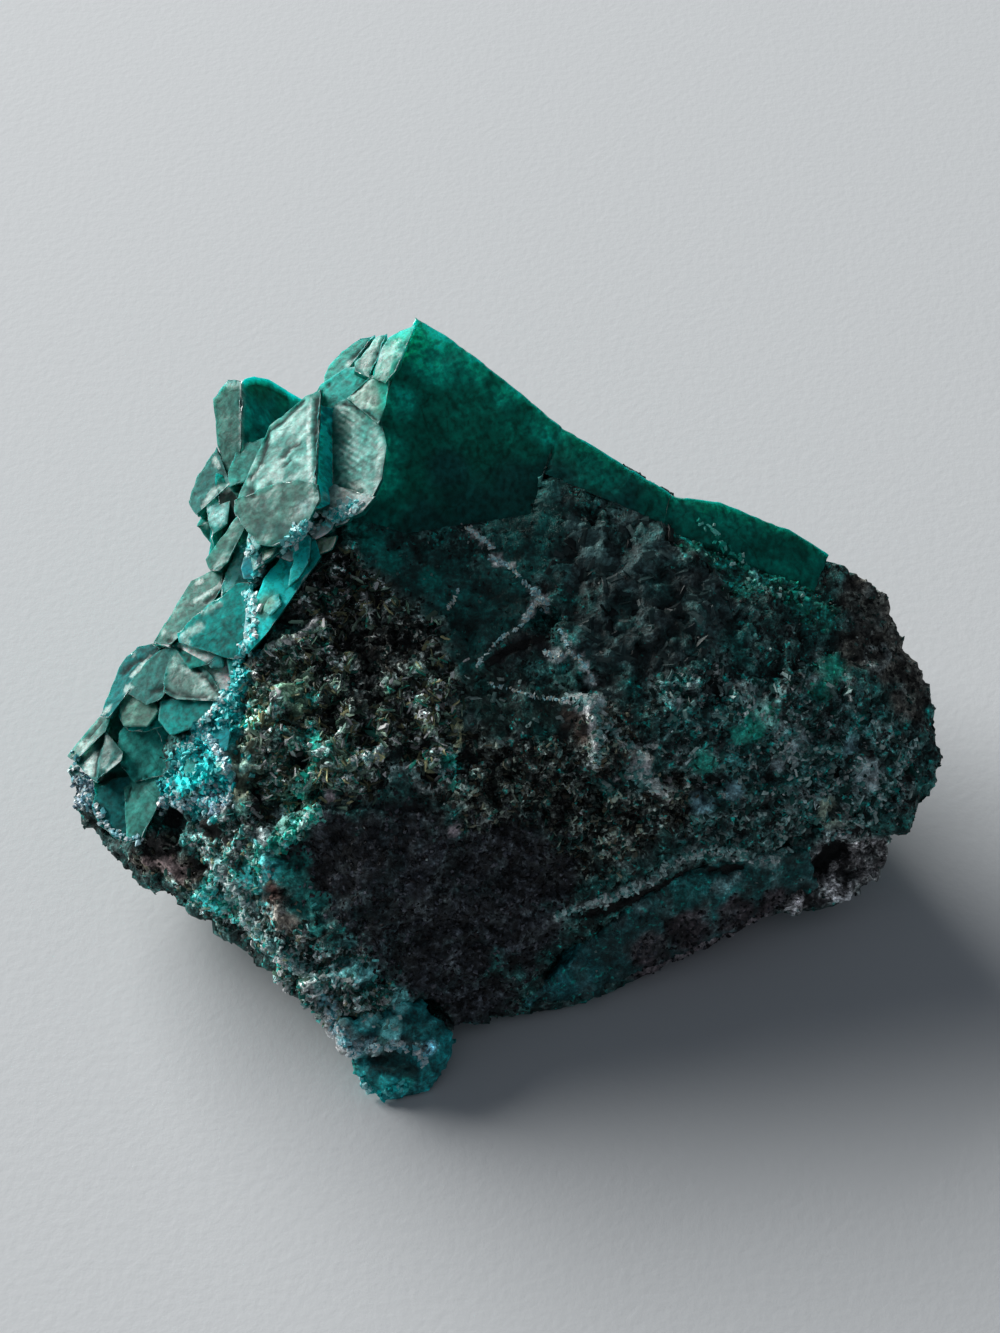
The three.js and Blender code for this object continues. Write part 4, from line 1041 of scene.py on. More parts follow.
# Thin painted highlights, mostly along edges (strength, width in mm, pixels), and clefts darkened with
# painted shade on the crystals (width, pixels)
edgeHighlights = {
    "twin": (0.75, 0.28, [(241, 380), (243, 402), (241, 425), (242, 450)]),
    "twinTop": (0.75, 0.3, [(226, 383), (235, 386), (240, 381)]),
    "plate": (0.75, 0.2, [(309, 406), (308, 440), (310, 475), (313, 500)]),
    "plateLeft": (0.75, 0.25, [(237, 493), (249, 481), (262, 466)]),
    "plateStreakA": (0.4, 0.35, [(258, 490), (280, 462), (306, 430)]),
    "plateStreakB": (0.35, 0.3, [(272, 440), (284, 426), (300, 410)]),
    "plateStreakC": (0.3, 0.25, [(268, 495), (290, 478), (308, 470)]),
    "innerBar": (0.6, 0.6, [(352, 366), (366, 350), (377, 340)]),
    "summitBar": (0.6, 0.4, [(383, 376), (388, 360), (397, 342)]),
    "stripedSide": (0.5, 0.35, [(380, 440), (381, 468), (376, 490), (366, 504), (352, 513)]),
    "stripedFoot": (0.75, 0.35, [(314, 500), (326, 497), (340, 491)]),
    "spur": (0.75, 0.45, [(206, 505), (214, 491), (228, 487)]),
    "spurLow": (0.75, 0.35, [(207, 524), (222, 528)]),
    "spurDots": (0.75, 0.22, [(214, 458), (218, 466)]),
    "sliver": (0.75, 0.22, [(184, 592), (200, 582), (213, 570)]),
    "sliverLow": (0.75, 0.22, [(195, 601), (210, 592), (220, 586)]),
    "sliverFoot": (0.75, 0.22, [(202, 612), (214, 607), (221, 604)]),
    "innerSliver": (0.75, 0.25, [(221, 582), (229, 572), (236, 562)]),
    "fanTop": (0.75, 0.25, [(133, 676), (150, 656), (162, 645), (172, 640)]),
    "fanBack": (0.75, 0.25, [(134, 655), (152, 642), (164, 632)]),
    "fanMark": (0.75, 0.35, [(126, 703), (128, 688)]),
    "fanCrown": (0.75, 0.3, [(184, 640), (199, 651), (206, 659)]),
    "crownGlow": (0.75, 0.45, [(184, 636), (192, 631), (199, 627)]),
    "fanRight": (0.75, 0.22, [(204, 668), (216, 672), (222, 685)]),
    "fanMiddle": (0.75, 0.22, [(180, 667), (196, 676), (212, 690)]),
    "shelfLip": (0.75, 0.18, [(172, 700), (200, 699), (220, 698)]),
    "leafRim": (0.75, 0.3, [(100, 779), (110, 769), (122, 757)]),
    "leafFace": (0.3, 0.5, [(110, 735), (108, 750), (104, 764)]),
    "tip": (0.8, 0.6, [(84, 744), (90, 758), (90, 772)]),
    "grooveTop": (0.75, 0.25, [(103, 713), (109, 708), (111, 716)]),
}
shadedClefts = {
    "riserEdge": (0.35, [(317, 398), (316, 440), (319, 492)]),
    "twinRim": (0.3, [(247, 385), (267, 386), (288, 397), (300, 405)]),
    "twinFoot": (0.25, [(303, 401), (284, 420), (268, 432), (265, 450), (261, 463), (250, 478), (238, 491)]),
    "fanCleft": (0.2, [(179, 648), (186, 657), (196, 668), (209, 682), (220, 694)]),
    "fanUnder": (0.3, [(152, 692), (163, 688), (173, 692), (186, 695), (204, 697)]),
    "rimCleft": (0.3, [(124, 672), (133, 663), (146, 657), (158, 648), (170, 640)]),
    "leafCleft": (0.2, [(94, 776), (97, 760), (101, 744), (104, 734)]),
    "leafBack": (0.25, [(84, 742), (92, 733), (101, 722)]),
    "leafUnder": (0.35, [(99, 783), (112, 776), (126, 768)]),
    "plateUnder": (0.15, [(127, 727), (140, 722), (152, 725)]),
    "lowCleft": (0.15, [(127, 800), (131, 786), (146, 777), (166, 772)]),
    "notch": (0.35, [(246, 496), (250, 488), (253, 496)]),
    "scratch": (0.3, [(284, 456), (290, 448), (300, 443)]),
    "scratchLow": (0.15, [(284, 467), (292, 457)]),
    "sliverHole": (0.35, [(207, 601), (213, 596), (220, 590)]),
    "sliverNick": (0.15, [(192, 605), (200, 612)]),
    "barCleft": (0.2, [(378, 350), (374, 366), (369, 377), (361, 386), (352, 394)]),
    "barTop": (0.35, [(385, 337), (380, 347)]),
    "barOuter": (0.25, [(373, 339), (363, 350), (352, 358)]),
    "saddleCleft": (0.25, [(329, 384), (321, 398)]),
    "stepTop": (0.2, [(344, 404), (356, 407), (368, 413), (376, 420)]),
}
# Sugary druse grown over the crystals' feet: pixel, pixel, radius in mm
druseSpots = [
    (300, 530, 0.5), (318, 522, 0.5), (335, 514, 0.45), (350, 509, 0.4), (290, 541, 0.4), (283, 553, 0.4),
    (250, 600, 0.35), (250, 625, 0.4), (247, 645, 0.4), (240, 657, 0.35), (238, 670, 0.4), (228, 692, 0.4),
    (226, 712, 0.6), (207, 728, 0.6), (190, 736, 0.5), (200, 745, 0.5),
]
# Fine parallel steps on one face: where they show, two pixels that lie along a step, one beside it, and their
# pitch in mm
striations = {
    "spots": [(350, 422, 1.3), (360, 440, 1.4), (345, 445, 0.9), (361, 465, 1.5), (360, 488, 1.1)],
    "along": ((340, 432), (360, 445)),
    "beside": (352, 475),
    "pitch": 0.44,
}


def crystalMaterial():
    material, tree, shader, output = newMaterial("dioptase")
    place = placeNode(tree)
    clouds = noiseNode(tree, place, *crystalGrain["clouds"])
    fine = noiseNode(tree, warpedNode(tree, place, *crystalGrain["fineBend"]), *crystalGrain["fine"])
    shade = timesNode(tree, rangeNode(tree, clouds, *crystalGrain["cloudTone"]),
                      rangeNode(tree, fine, *crystalGrain["fineTone"]))
    # growth streaks that run the length of the crystals
    turned = addNode(tree, "ShaderNodeMapping", {
        "Vector": warpedNode(tree, place, *crystalGrain["streakBend"]),
        "Rotation": crystalLook["streakTurn"],
        "Scale": crystalLook["streakScale"],
    })
    streak = noiseNode(tree, turned.outputs[0], *crystalGrain["streaks"])
    shade = timesNode(tree, shade, rangeNode(tree, streak, *crystalGrain["streakTone"]))
    # fine steps across one plate
    start, end = (onStone(*pixel) for pixel in striations["along"])
    beside = onStone(*striations["beside"])
    across = (end - start).cross(beside - start).cross(end - start)
    way = across.normalized() * (2 * math.pi / (striations["pitch"] * mm))
    stepPlace = warpedNode(tree, place, *crystalGrain["stepBend"])
    along = addNode(tree, "ShaderNodeVectorMath", {0: stepPlace, 1: way}, operation="DOT_PRODUCT")
    stepped = addNode(tree, "ShaderNodeAttribute", attribute_name="steps").outputs["Fac"]
    wave = timesNode(tree, mathNode(tree, "SINE", along.outputs["Value"]), stepped)
    wave = timesNode(tree, wave, rangeNode(tree, clouds, *crystalGrain["stepPatches"]))
    shade = timesNode(tree, shade, mathNode(tree, "MULTIPLY_ADD", wave, crystalGrain["stepTone"], 1.0))
    color = shadedNode(tree, attributeNode(tree, "tint"), shade)
    # hair-thin cracks under the faces
    crackPlace = warpedNode(tree, place, *crystalGrain["crackBend"])
    crack = wallNode(tree, crackPlace, crystalGrain["cracks"])
    crackField = noiseNode(tree, place, crystalGrain["crackField"])
    cracked = timesNode(tree, rangeNode(tree, crack, *crystalGrain["crackTone"]),
                        rangeNode(tree, crackField, *crystalGrain["crackPatches"]))
    color = mixNode(tree, cracked, color, shadedNode(tree, color, crystalLook["crackColor"]))
    tree.links.new(color, shader.inputs["Base Color"])
    # pale faces have a satin gloss, deep green ones are duller
    pale = splitNode(tree, attributeNode(tree, "tint"))[0]
    gloss = rangeNode(tree, pale, 0.0, crystalGrain["palest"], crystalLook["dull"], crystalLook["satin"])
    gloss = mathNode(tree, "ADD", gloss, rangeNode(tree, fine, *crystalGrain["glossTone"]))
    tree.links.new(gloss, shader.inputs["Roughness"])
    shader.inputs["IOR"].default_value = crystalLook["ior"]
    shader.inputs["Specular IOR Level"].default_value = crystalLook["specular"]
    shader.inputs["Transmission Weight"].default_value = crystalLook["transmission"]
    shader.inputs["Subsurface Weight"].default_value = crystalLook["glow"]
    shader.inputs["Subsurface Radius"].default_value = crystalLook["scatter"]
    shader.inputs["Subsurface Scale"].default_value = crystalLook["glowDepth"]
    height = mathNode(tree, "MULTIPLY_ADD", streak, crystalGrain["streakHeight"], clouds)
    height = mathNode(tree, "MULTIPLY_ADD", fine, crystalGrain["fineHeight"], height)
    height = mathNode(tree, "MULTIPLY_ADD", wave, crystalGrain["stepHeight"], height)
    bumpSurface(tree, shader, height, *crystalGrain["bump"])
    depth = addNode(tree, "ShaderNodeVolumeAbsorption",
                    {"Color": crystalLook["depthColor"], "Density": crystalLook["density"]})
    tree.links.new(depth.outputs["Volume"], output.inputs["Volume"])
    return material


# How the crystals' faces are cut and dressed. Noise is in layers of weight, size in mm and seed; edges are
# the noise, or mm from an edge, at which a thing begins and is full.
crystalShape = {
    "weld": 0.01 * mm,
    "flat": math.radians(2.0),        # faces that meet at less than this are one
    "bevelFrom": math.radians(18),
    "sharpFrom": math.radians(22),
    "cuts": 8,
    "longInRock": 2 * mm,             # edges inside the rock may be this long
    "rockReach": 0.55 * mm,
    "waver": [(0.3, 1.5, 3.0)],
    "patchSoft": 0.4,
    "borderEdge": (0.6, 0.05),
    "borderNoise": [(0.35, 0.9, 41.0)],
    "cloudEdge": (0.0, 0.45),
    "cloudNoise": [(1.0, 1.3, 44.0)],
    "milkEdge": (0.1, 0.5),
    "milkNoise": [(1.0, 1.0, 57.0)],
    "bend": (0.4, 1.0, (15.0, 25.0, 35.0)),
    "cells": (1.5 * mm, 19.0),
    "cellTone": 0.5,                  # how much the cells differ, and how their seams stand out
    "seamEdge": (0.12, 0.02),
    "seamTone": 0.25,
    "paleEdge": (0.02, 0.12),         # red at which a face counts as pale
    "mostDepth": 0.85,
    "rimNoise": [(0.4, 0.6, 12.0)],
    "rimMiddle": 0.6,
    "hiddenRim": 0.25,                # how much of the painted rim highlight the flanks get
    "brush": [(0.6, 0.5, 17.0)],
    "brushMiddle": 0.8,
    "cleftShade": 0.85,
    "stepSoft": 0.3,
    "rippleNoise": [(1.0, 1.6, 8.0), (0.4, 0.7, 6.0)],
    "rippleTilt": 0.8,
    "chipEdge": (0.4, 0.0),
    "chipField": (0.0, 0.5),
    "chipNoise": [(1.0, 0.8, 66.0)],
    "druseWaver": 1.5,
}


def numberFaces(mesh):
    # joins each flat face into one polygon, and numbers it
    editor = bmesh.new()
    editor.from_mesh(mesh)
    bmesh.ops.remove_doubles(editor, verts=editor.verts, dist=crystalShape["weld"])
    bmesh.ops.dissolve_limit(editor, angle_limit=crystalShape["flat"], verts=editor.verts, edges=editor.edges)
    number = editor.faces.layers.int.new("face")
    for i, face in enumerate(editor.faces):
        face[number] = i
    found = BVHTree.FromBMesh(editor)
    count = len(editor.faces)
    editor.to_mesh(mesh)
    editor.free()
    return found, count


def bevelEdges(piece, width):
    # the narrow new faces get the second material, so that they can be told apart
    bevel = piece.modifiers.new("bevel", "BEVEL")
    bevel.width = width
    bevel.segments = 1
    bevel.limit_method = "ANGLE"
    bevel.angle_limit = crystalShape["bevelFrom"]
    bevel.use_clamp_overlap = True
    bevel.material = 1
    applyModifiers(piece)


def refine(piece, longest):
    # cuts long edges until none is longer than this, but leaves those that stand in the rock
    editor = bmesh.new()
    editor.from_mesh(piece.data)
    for _ in range(crystalShape["cuts"]):
        bmesh.ops.triangulate(editor, faces=editor.faces)
        long = [e for e in editor.edges if e.calc_length() > longest
                and (e.calc_length() > crystalShape["longInRock"] or any(outOfRock(v.co) for v in e.verts))]
        if not long:
            break
        bmesh.ops.subdivide_edges(editor, edges=long, cuts=1)
    bmesh.ops.triangulate(editor, faces=editor.faces)
    editor.to_mesh(piece.data)
    editor.free()


def outOfRock(place):
    return rockWall.find_nearest(place, crystalShape["rockReach"])[0] is None


def dressCrystals(piece, faceTints, shown):
    # one colour for each numbered face, then bevels, fine mesh, borders, clouds and a slight ripple
    piece.data.materials.append(dioptase)
    piece.data.materials.append(None)
    bevelEdges(piece, crystalLook["edge"])
    refine(piece, crystalLook["grain"])
    mesh = piece.data
    points, normals = cornersOf(mesh)
    faces = len(mesh.polygons)
    number = valuesOf(mesh.attributes["face"].data, "value", np.int32)
    part = valuesOf(mesh.polygons, "material_index", np.int32)
    loops = valuesOf(mesh.loops, "vertex_index", np.int32)
    loopFace = np.repeat(np.arange(faces), 3)
    waver = noiseSum(points, crystalShape["waver"])
    tint = faceTints[number][loopFace]
    lit = shown[number][loopFace].astype(float)
    for color, strength, spots in crystalPatches.values():
        weight = strength * patch(points, spots, waver, crystalShape["patchSoft"])
        tint = blended(tint, seen(color), weight[loops])

    # painted sheen kept pale in the middle of a face, painted shade in deeper green along its borders, and
    # deeper green in clouds
    borders = KDTree(len(points))
    for i in np.unique(loops[part[loopFace] == 1]):
        borders.insert(points[i], int(i))
    borders.balance()
    away = np.array([borders.find(p)[2] for p in points]) / mm
    borderShade = smoothStep(*crystalShape["borderEdge"], away + noiseSum(points, crystalShape["borderNoise"]))
    cloudy = smoothStep(*crystalShape["cloudEdge"], noiseSum(points, crystalShape["cloudNoise"]))
    milky = smoothStep(*crystalShape["milkEdge"], noiseSum(points, crystalShape["milkNoise"]))
    warped = pushedAbout(points, *crystalShape["bend"])
    tilts, gap, own = brokenAt(warped, *crystalShape["cells"])
    seams = crystalShape["seamTone"] * smoothStep(*crystalShape["seamEdge"], gap)
    tint = tint * np.exp(crystalShape["cellTone"] * (own - 0.5) + seams)[loops][:, None]
    paleFace = smoothStep(*crystalShape["paleEdge"], tint[:, 0])
    deep = borderShade * crystalLook["borders"] + cloudy * crystalLook["clouds"]
    deep = np.clip(deep, 0, crystalShape["mostDepth"])
    tint = blended(tint, seen(crystalLook["deepColor"]), deep[loops] * lit * paleFace)
    tint = blended(tint, seen(crystalLook["rimColor"]), (milky * crystalLook["milk"])[loops] * lit * paleFace)
    # painted highlights on the bevelled edges, broken up by noise
    rimHighlight = (crystalShape["rimMiddle"] + noiseSum(points, crystalShape["rimNoise"]))[loops]
    pale = np.clip((part[loopFace] == 1) * crystalLook["rims"] * rimHighlight, 0, 1)
    tint = blended(tint, seen(crystalLook["rimColor"]), pale * np.where(lit, 1.0, crystalShape["hiddenRim"]))
    cleft = np.zeros(len(points))
    brushed = np.clip(crystalShape["brushMiddle"] + noiseSum(points, crystalShape["brush"]), 0, 1)
    # painted highlights along edges
    for strength, width, line in edgeHighlights.values():
        weight = strength * alongLine(points, line, width, waver) * brushed
        tint = blended(tint, seen(crystalLook["rimColor"]), weight[loops])
    # the clefts: darkened with painted shade here, and sunk a little further on
    for width, line in shadedClefts.values():
        cleft = np.maximum(cleft, alongLine(points, line, width, waver))
    tint = tint * (1 - crystalShape["cleftShade"] * cleft)[loops][:, None]
    paintCorners(mesh, "tint", tint, "CORNER")
    steps = mesh.attributes.new("steps", "FLOAT", "POINT")
    stepped = patch(points, striations["spots"], 0.0, crystalShape["stepSoft"])
    steps.data.foreach_set("value", stepped.astype(np.float32))
    mesh.polygons.foreach_set("material_index", np.zeros(faces, np.int32))
    mesh.materials.pop(index=1)
    mesh.attributes.remove(mesh.attributes["face"])

    ripple = noiseSum(points, crystalShape["rippleNoise"]) + crystalShape["rippleTilt"] * tilts
    chipped = smoothStep(*crystalShape["chipField"], noiseSum(points, crystalShape["chipNoise"]))
    push = crystalLook["ripple"] * ripple
    push -= crystalLook["cleft"] * cleft
    push -= crystalLook["chips"] * smoothStep(*crystalShape["chipEdge"], away) * chipped
    setCorners(mesh, points + normals * (push * mm)[:, None])
    smoothFaces(mesh)
    mesh.set_sharp_from_angle(angle=crystalShape["sharpFrom"])
    print(piece.name + ":", len(mesh.polygons), "faces")
    return {"druse": patch(points, druseSpots, crystalShape["druseWaver"] * waver),
            "light": np.ones(len(points))}


def addCrystals():
    crystals = copyNode("dioptase_crystals", "crystals")
    found, count = numberFaces(crystals.data)
    faceTints = np.tile(seen(crystalLook["sides"]), (count, 1))
    shown = np.zeros(count, bool)
    for name, (shade, pixels) in crystalFaces.items():
        for px, py in pixels:
            index = found.ray_cast(eye, sightTo(px, py))[2]
            if index is None:
                print("no crystal face at", name, px, py)
                continue
            faceTints[index] = seen(crystalShades[shade])
            shown[index] = True
    share = dressCrystals(crystals, faceTints, shown)
    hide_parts("dioptase_crystals")
    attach(crystals, "root")
    return crystals, share


# Small crystals wedged between the large ones: colour, how far they stand out in mm, outline in pixels
smallCrystals = {
    "ridgeBlue": ((140, 200, 206), 0.3, [(247, 596), (258, 590), (262, 605), (258, 640), (250, 652),
                                         (243, 638)]),
    "cyanLump": ((0, 130, 142), 0.5, [(243, 557), (256, 553), (262, 566), (256, 580), (244, 580),
                                      (240, 570)]),
    "paleSpot": ((150, 195, 185), 0.5, [(240, 583), (252, 582), (254, 588), (244, 591)]),
    "nestBlue": ((120, 215, 212), 0.4, [(247, 530), (256, 528), (262, 545), (256, 553), (246, 556)]),
    "nestPale": ((160, 192, 176), 0.4, [(262, 550), (280, 543), (272, 556), (262, 562)]),
    "shoulderFill": ((70, 130, 116), 0.5, [(119, 696), (131, 686), (152, 692), (159, 711), (148, 727),
                                           (121, 727)]),
    "shelfFill": ((0, 128, 124), 0.5, [(160, 700), (186, 697), (221, 700), (226, 712), (198, 726), (170, 736),
                                       (158, 722)]),
    "shelfStep": ((0, 150, 140), 0.7, [(166, 704), (184, 701), (188, 722), (172, 728)]),
    "tealCorner": ((0, 112, 110), 0.3, [(205, 660), (222, 650), (224, 668), (210, 669)]),
    "tealEdge": ((0, 132, 126), 0.3, [(226, 655), (240, 650), (244, 680), (231, 690)]),
    "lens": ((0, 150, 158), 0.4, [(208, 728), (222, 720), (232, 730), (228, 750), (216, 758), (206, 747)]),
    "oliveWedge": ((112, 146, 124), 0.3, [(181, 748), (192, 732), (206, 736), (200, 750), (187, 755)]),
    "cyanWedge": ((60, 200, 190), 0.3, [(178, 758), (198, 757), (202, 772), (186, 778)]),
    "cornerTeal": ((20, 225, 218), 0.5, [(310, 527), (330, 522), (328, 535), (314, 537)]),
    "oliveSeat": ((200, 226, 196), 0.5, [(312, 541), (338, 534), (332, 549), (316, 556)]),
    "tealStep": ((20, 120, 104), 0.4, [(345, 528), (355, 524), (358, 544), (348, 552)]),
    "cyanPlate": ((40, 240, 236), 0.4, [(296, 532), (311, 536), (309, 560), (300, 578), (287, 588)]),
    "drusyBedA": ((214, 248, 248), 0.7, [(280, 557), (298, 537), (312, 529), (307, 546), (292, 563)]),
    "drusyBedB": ((230, 250, 250), 0.7, [(306, 531), (324, 519), (338, 517), (333, 530), (314, 540)]),
    "drusyBedC": ((214, 246, 246), 0.6, [(330, 519), (350, 507), (359, 511), (347, 522), (335, 528)]),
    "cyanFoot": ((90, 215, 210), 0.4, [(268, 598), (280, 592), (282, 604), (270, 616), (262, 612)]),
}
smallLook = {"length": 2.2 * mm, "toWindow": 0.7}


def addSmallCrystals():
    # every face leans towards the window, and its sides run back along the line of sight
    lean = (windowWay() * smallLook["toWindow"] - ahead).normalized()
    editor = bmesh.new()
    number = editor.faces.layers.int.new("face")
    tints = []
    for color, lift, outline in smallCrystals.values():
        middle = sum((onStone(*pixel) for pixel in outline), Vector()) / len(outline) - ahead * (lift * mm)
        front = []
        for pixel in outline:
            sight = sightTo(*pixel)
            front.append(editor.verts.new(eye + sight * ((middle - eye).dot(lean) / sight.dot(lean))))
        back = [editor.verts.new(v.co + ahead * smallLook["length"]) for v in front]
        around = list(zip(front, back, back[1:] + back[:1], front[1:] + front[:1]))
        for corners in [front, back[::-1], *around]:
            face = editor.faces.new(corners)
            face[number] = len(tints)
            tints.append(seen(color) if corners is front else seen(crystalLook["sides"]))
    bmesh.ops.recalc_face_normals(editor, faces=editor.faces)
    mesh = bpy.data.meshes.new("smallCrystals")
    editor.to_mesh(mesh)
    editor.free()
    piece = addObject("smallCrystals", mesh)
    dressCrystals(piece, np.array(tints), np.zeros(len(tints), bool))
    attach(piece, "root")
    return piece


dioptase = crystalMaterial()
crystals, crystalShare = addCrystals()
small = addSmallCrystals()


# The teal vein low on the front and the lump at the foot, in the same terms as the rock
veinKinds = {
    "body": {
        "tint": (0.014, 0.10, 0.105), "net": (0.10, 0.26, 0.27), "amounts": (0.25, 0.3, 0.08),
        "blotches": (0.4, 0.6, 0.15), "pits": 0.15, "gloss": 0.55, "contrast": 0.26,
        "hollows": 0.2, "relief": 0.2,
        "spots": []},
    "bluish": {
        "tint": (0.01, 0.16, 0.18), "net": (0.10, 0.32, 0.34), "amounts": (0.2, 0.3, 0.08),
        "blotches": (0.3, 0.4, 0.15), "pits": 0.1, "gloss": 0.55, "contrast": 0.30,
        "hollows": 0.2, "relief": 0.15,
        "spots": [(520, 985, 2.2), (570, 975, 2)]},
    "right": {
        "tint": (0.008, 0.17, 0.17), "net": (0.10, 0.34, 0.34), "amounts": (0.25, 0.3, 0.1),
        "blotches": (0.3, 0.6, 0.25), "pits": 0.15, "gloss": 0.55, "contrast": 0.38,
        "hollows": 0.2, "relief": 0.16,
        "spots": [(740, 880, 2.2), (690, 890, 2), (780, 870, 1.6)]},
    "streak": {
        "tint": (0.10, 0.24, 0.25), "net": (0.30, 0.5, 0.5), "amounts": (0.4, 0.2, 0.3),
        "blotches": (0.1, 0.3, 0.2), "pits": 0.1, "gloss": 0.4, "contrast": 0.38,
        "hollows": 0.2, "relief": 0.15,
        "spots": [(722, 886, 0.7), (735, 876, 0.7), (640, 905, 0.6)]},
    "purple": {
        "tint": (0.092, 0.080, 0.090), "net": (0.20, 0.19, 0.20), "amounts": (0.3, 0.03, 0.06),
        "blotches": (0.1, 0.4, 0.15), "pits": 0.25, "gloss": 0.25, "contrast": 0.30,
        "hollows": 0.2, "relief": 0.2,
        "spots": [(690, 930, 1.8), (735, 915, 1.6), (650, 950, 1.6), (775, 905, 1.4)]},
}
footKinds = {
    "body": {
        "tint": (0.004, 0.27, 0.29), "net": (0.10, 0.48, 0.50), "amounts": (0.15, 0.15, 0.03),
        "blotches": (0.1, 0.3, 0.05), "pits": 0.05, "gloss": 0.6, "contrast": 0.3,
        "hollows": 0.2, "relief": 0.24,
        "spots": []},
    # painted shade in the hollow of the foot
    "darkHollow": {
        "tint": (0.0, 0.05, 0.055), "net": (0.02, 0.14, 0.14), "amounts": (0.1, 0.1, 0.0),
        "blotches": (0.0, 0.3, 0.0), "pits": 0.1, "gloss": 0.5, "contrast": 0.3,
        "hollows": 0.2, "relief": 0.3,
        "spots": [(392, 1064, 1.0), (408, 1072, 0.8), (376, 1060, 0.7)]},
    "bright": {
        "tint": (0.0, 0.50, 0.44), "net": (0.2, 0.8, 0.75), "amounts": (0.3, 0.5, 0.1),
        "blotches": (0.1, 0.2, 0.1), "pits": 0.1, "gloss": 0.6, "contrast": 0.5,
        "hollows": 0.2, "relief": 0.2,
        "spots": [(365, 1090, 0.6), (405, 1086, 0.6), (352, 1070, 0.5)]},
    "rim": {
        "tint": (0.10, 0.32, 0.40), "net": (0.4, 0.62, 0.72), "amounts": (0.5, 0.2, 0.3),
        "blotches": (0.2, 0.4, 0.15), "pits": 0.3, "gloss": 0.35, "contrast": 0.9,
        "hollows": 0.2, "relief": 0.34,
        "spots": [(350, 1046, 0.7), (372, 1040, 0.5), (398, 1041, 0.5), (430, 1048, 0.6)]},
}
vein, veinShare = addStone("lower_vein", "vein", veinKinds, crustedStone("vein"))
foot, footShare = addStone("foot_crystal", "foot", footKinds, crustedStone("foot"))


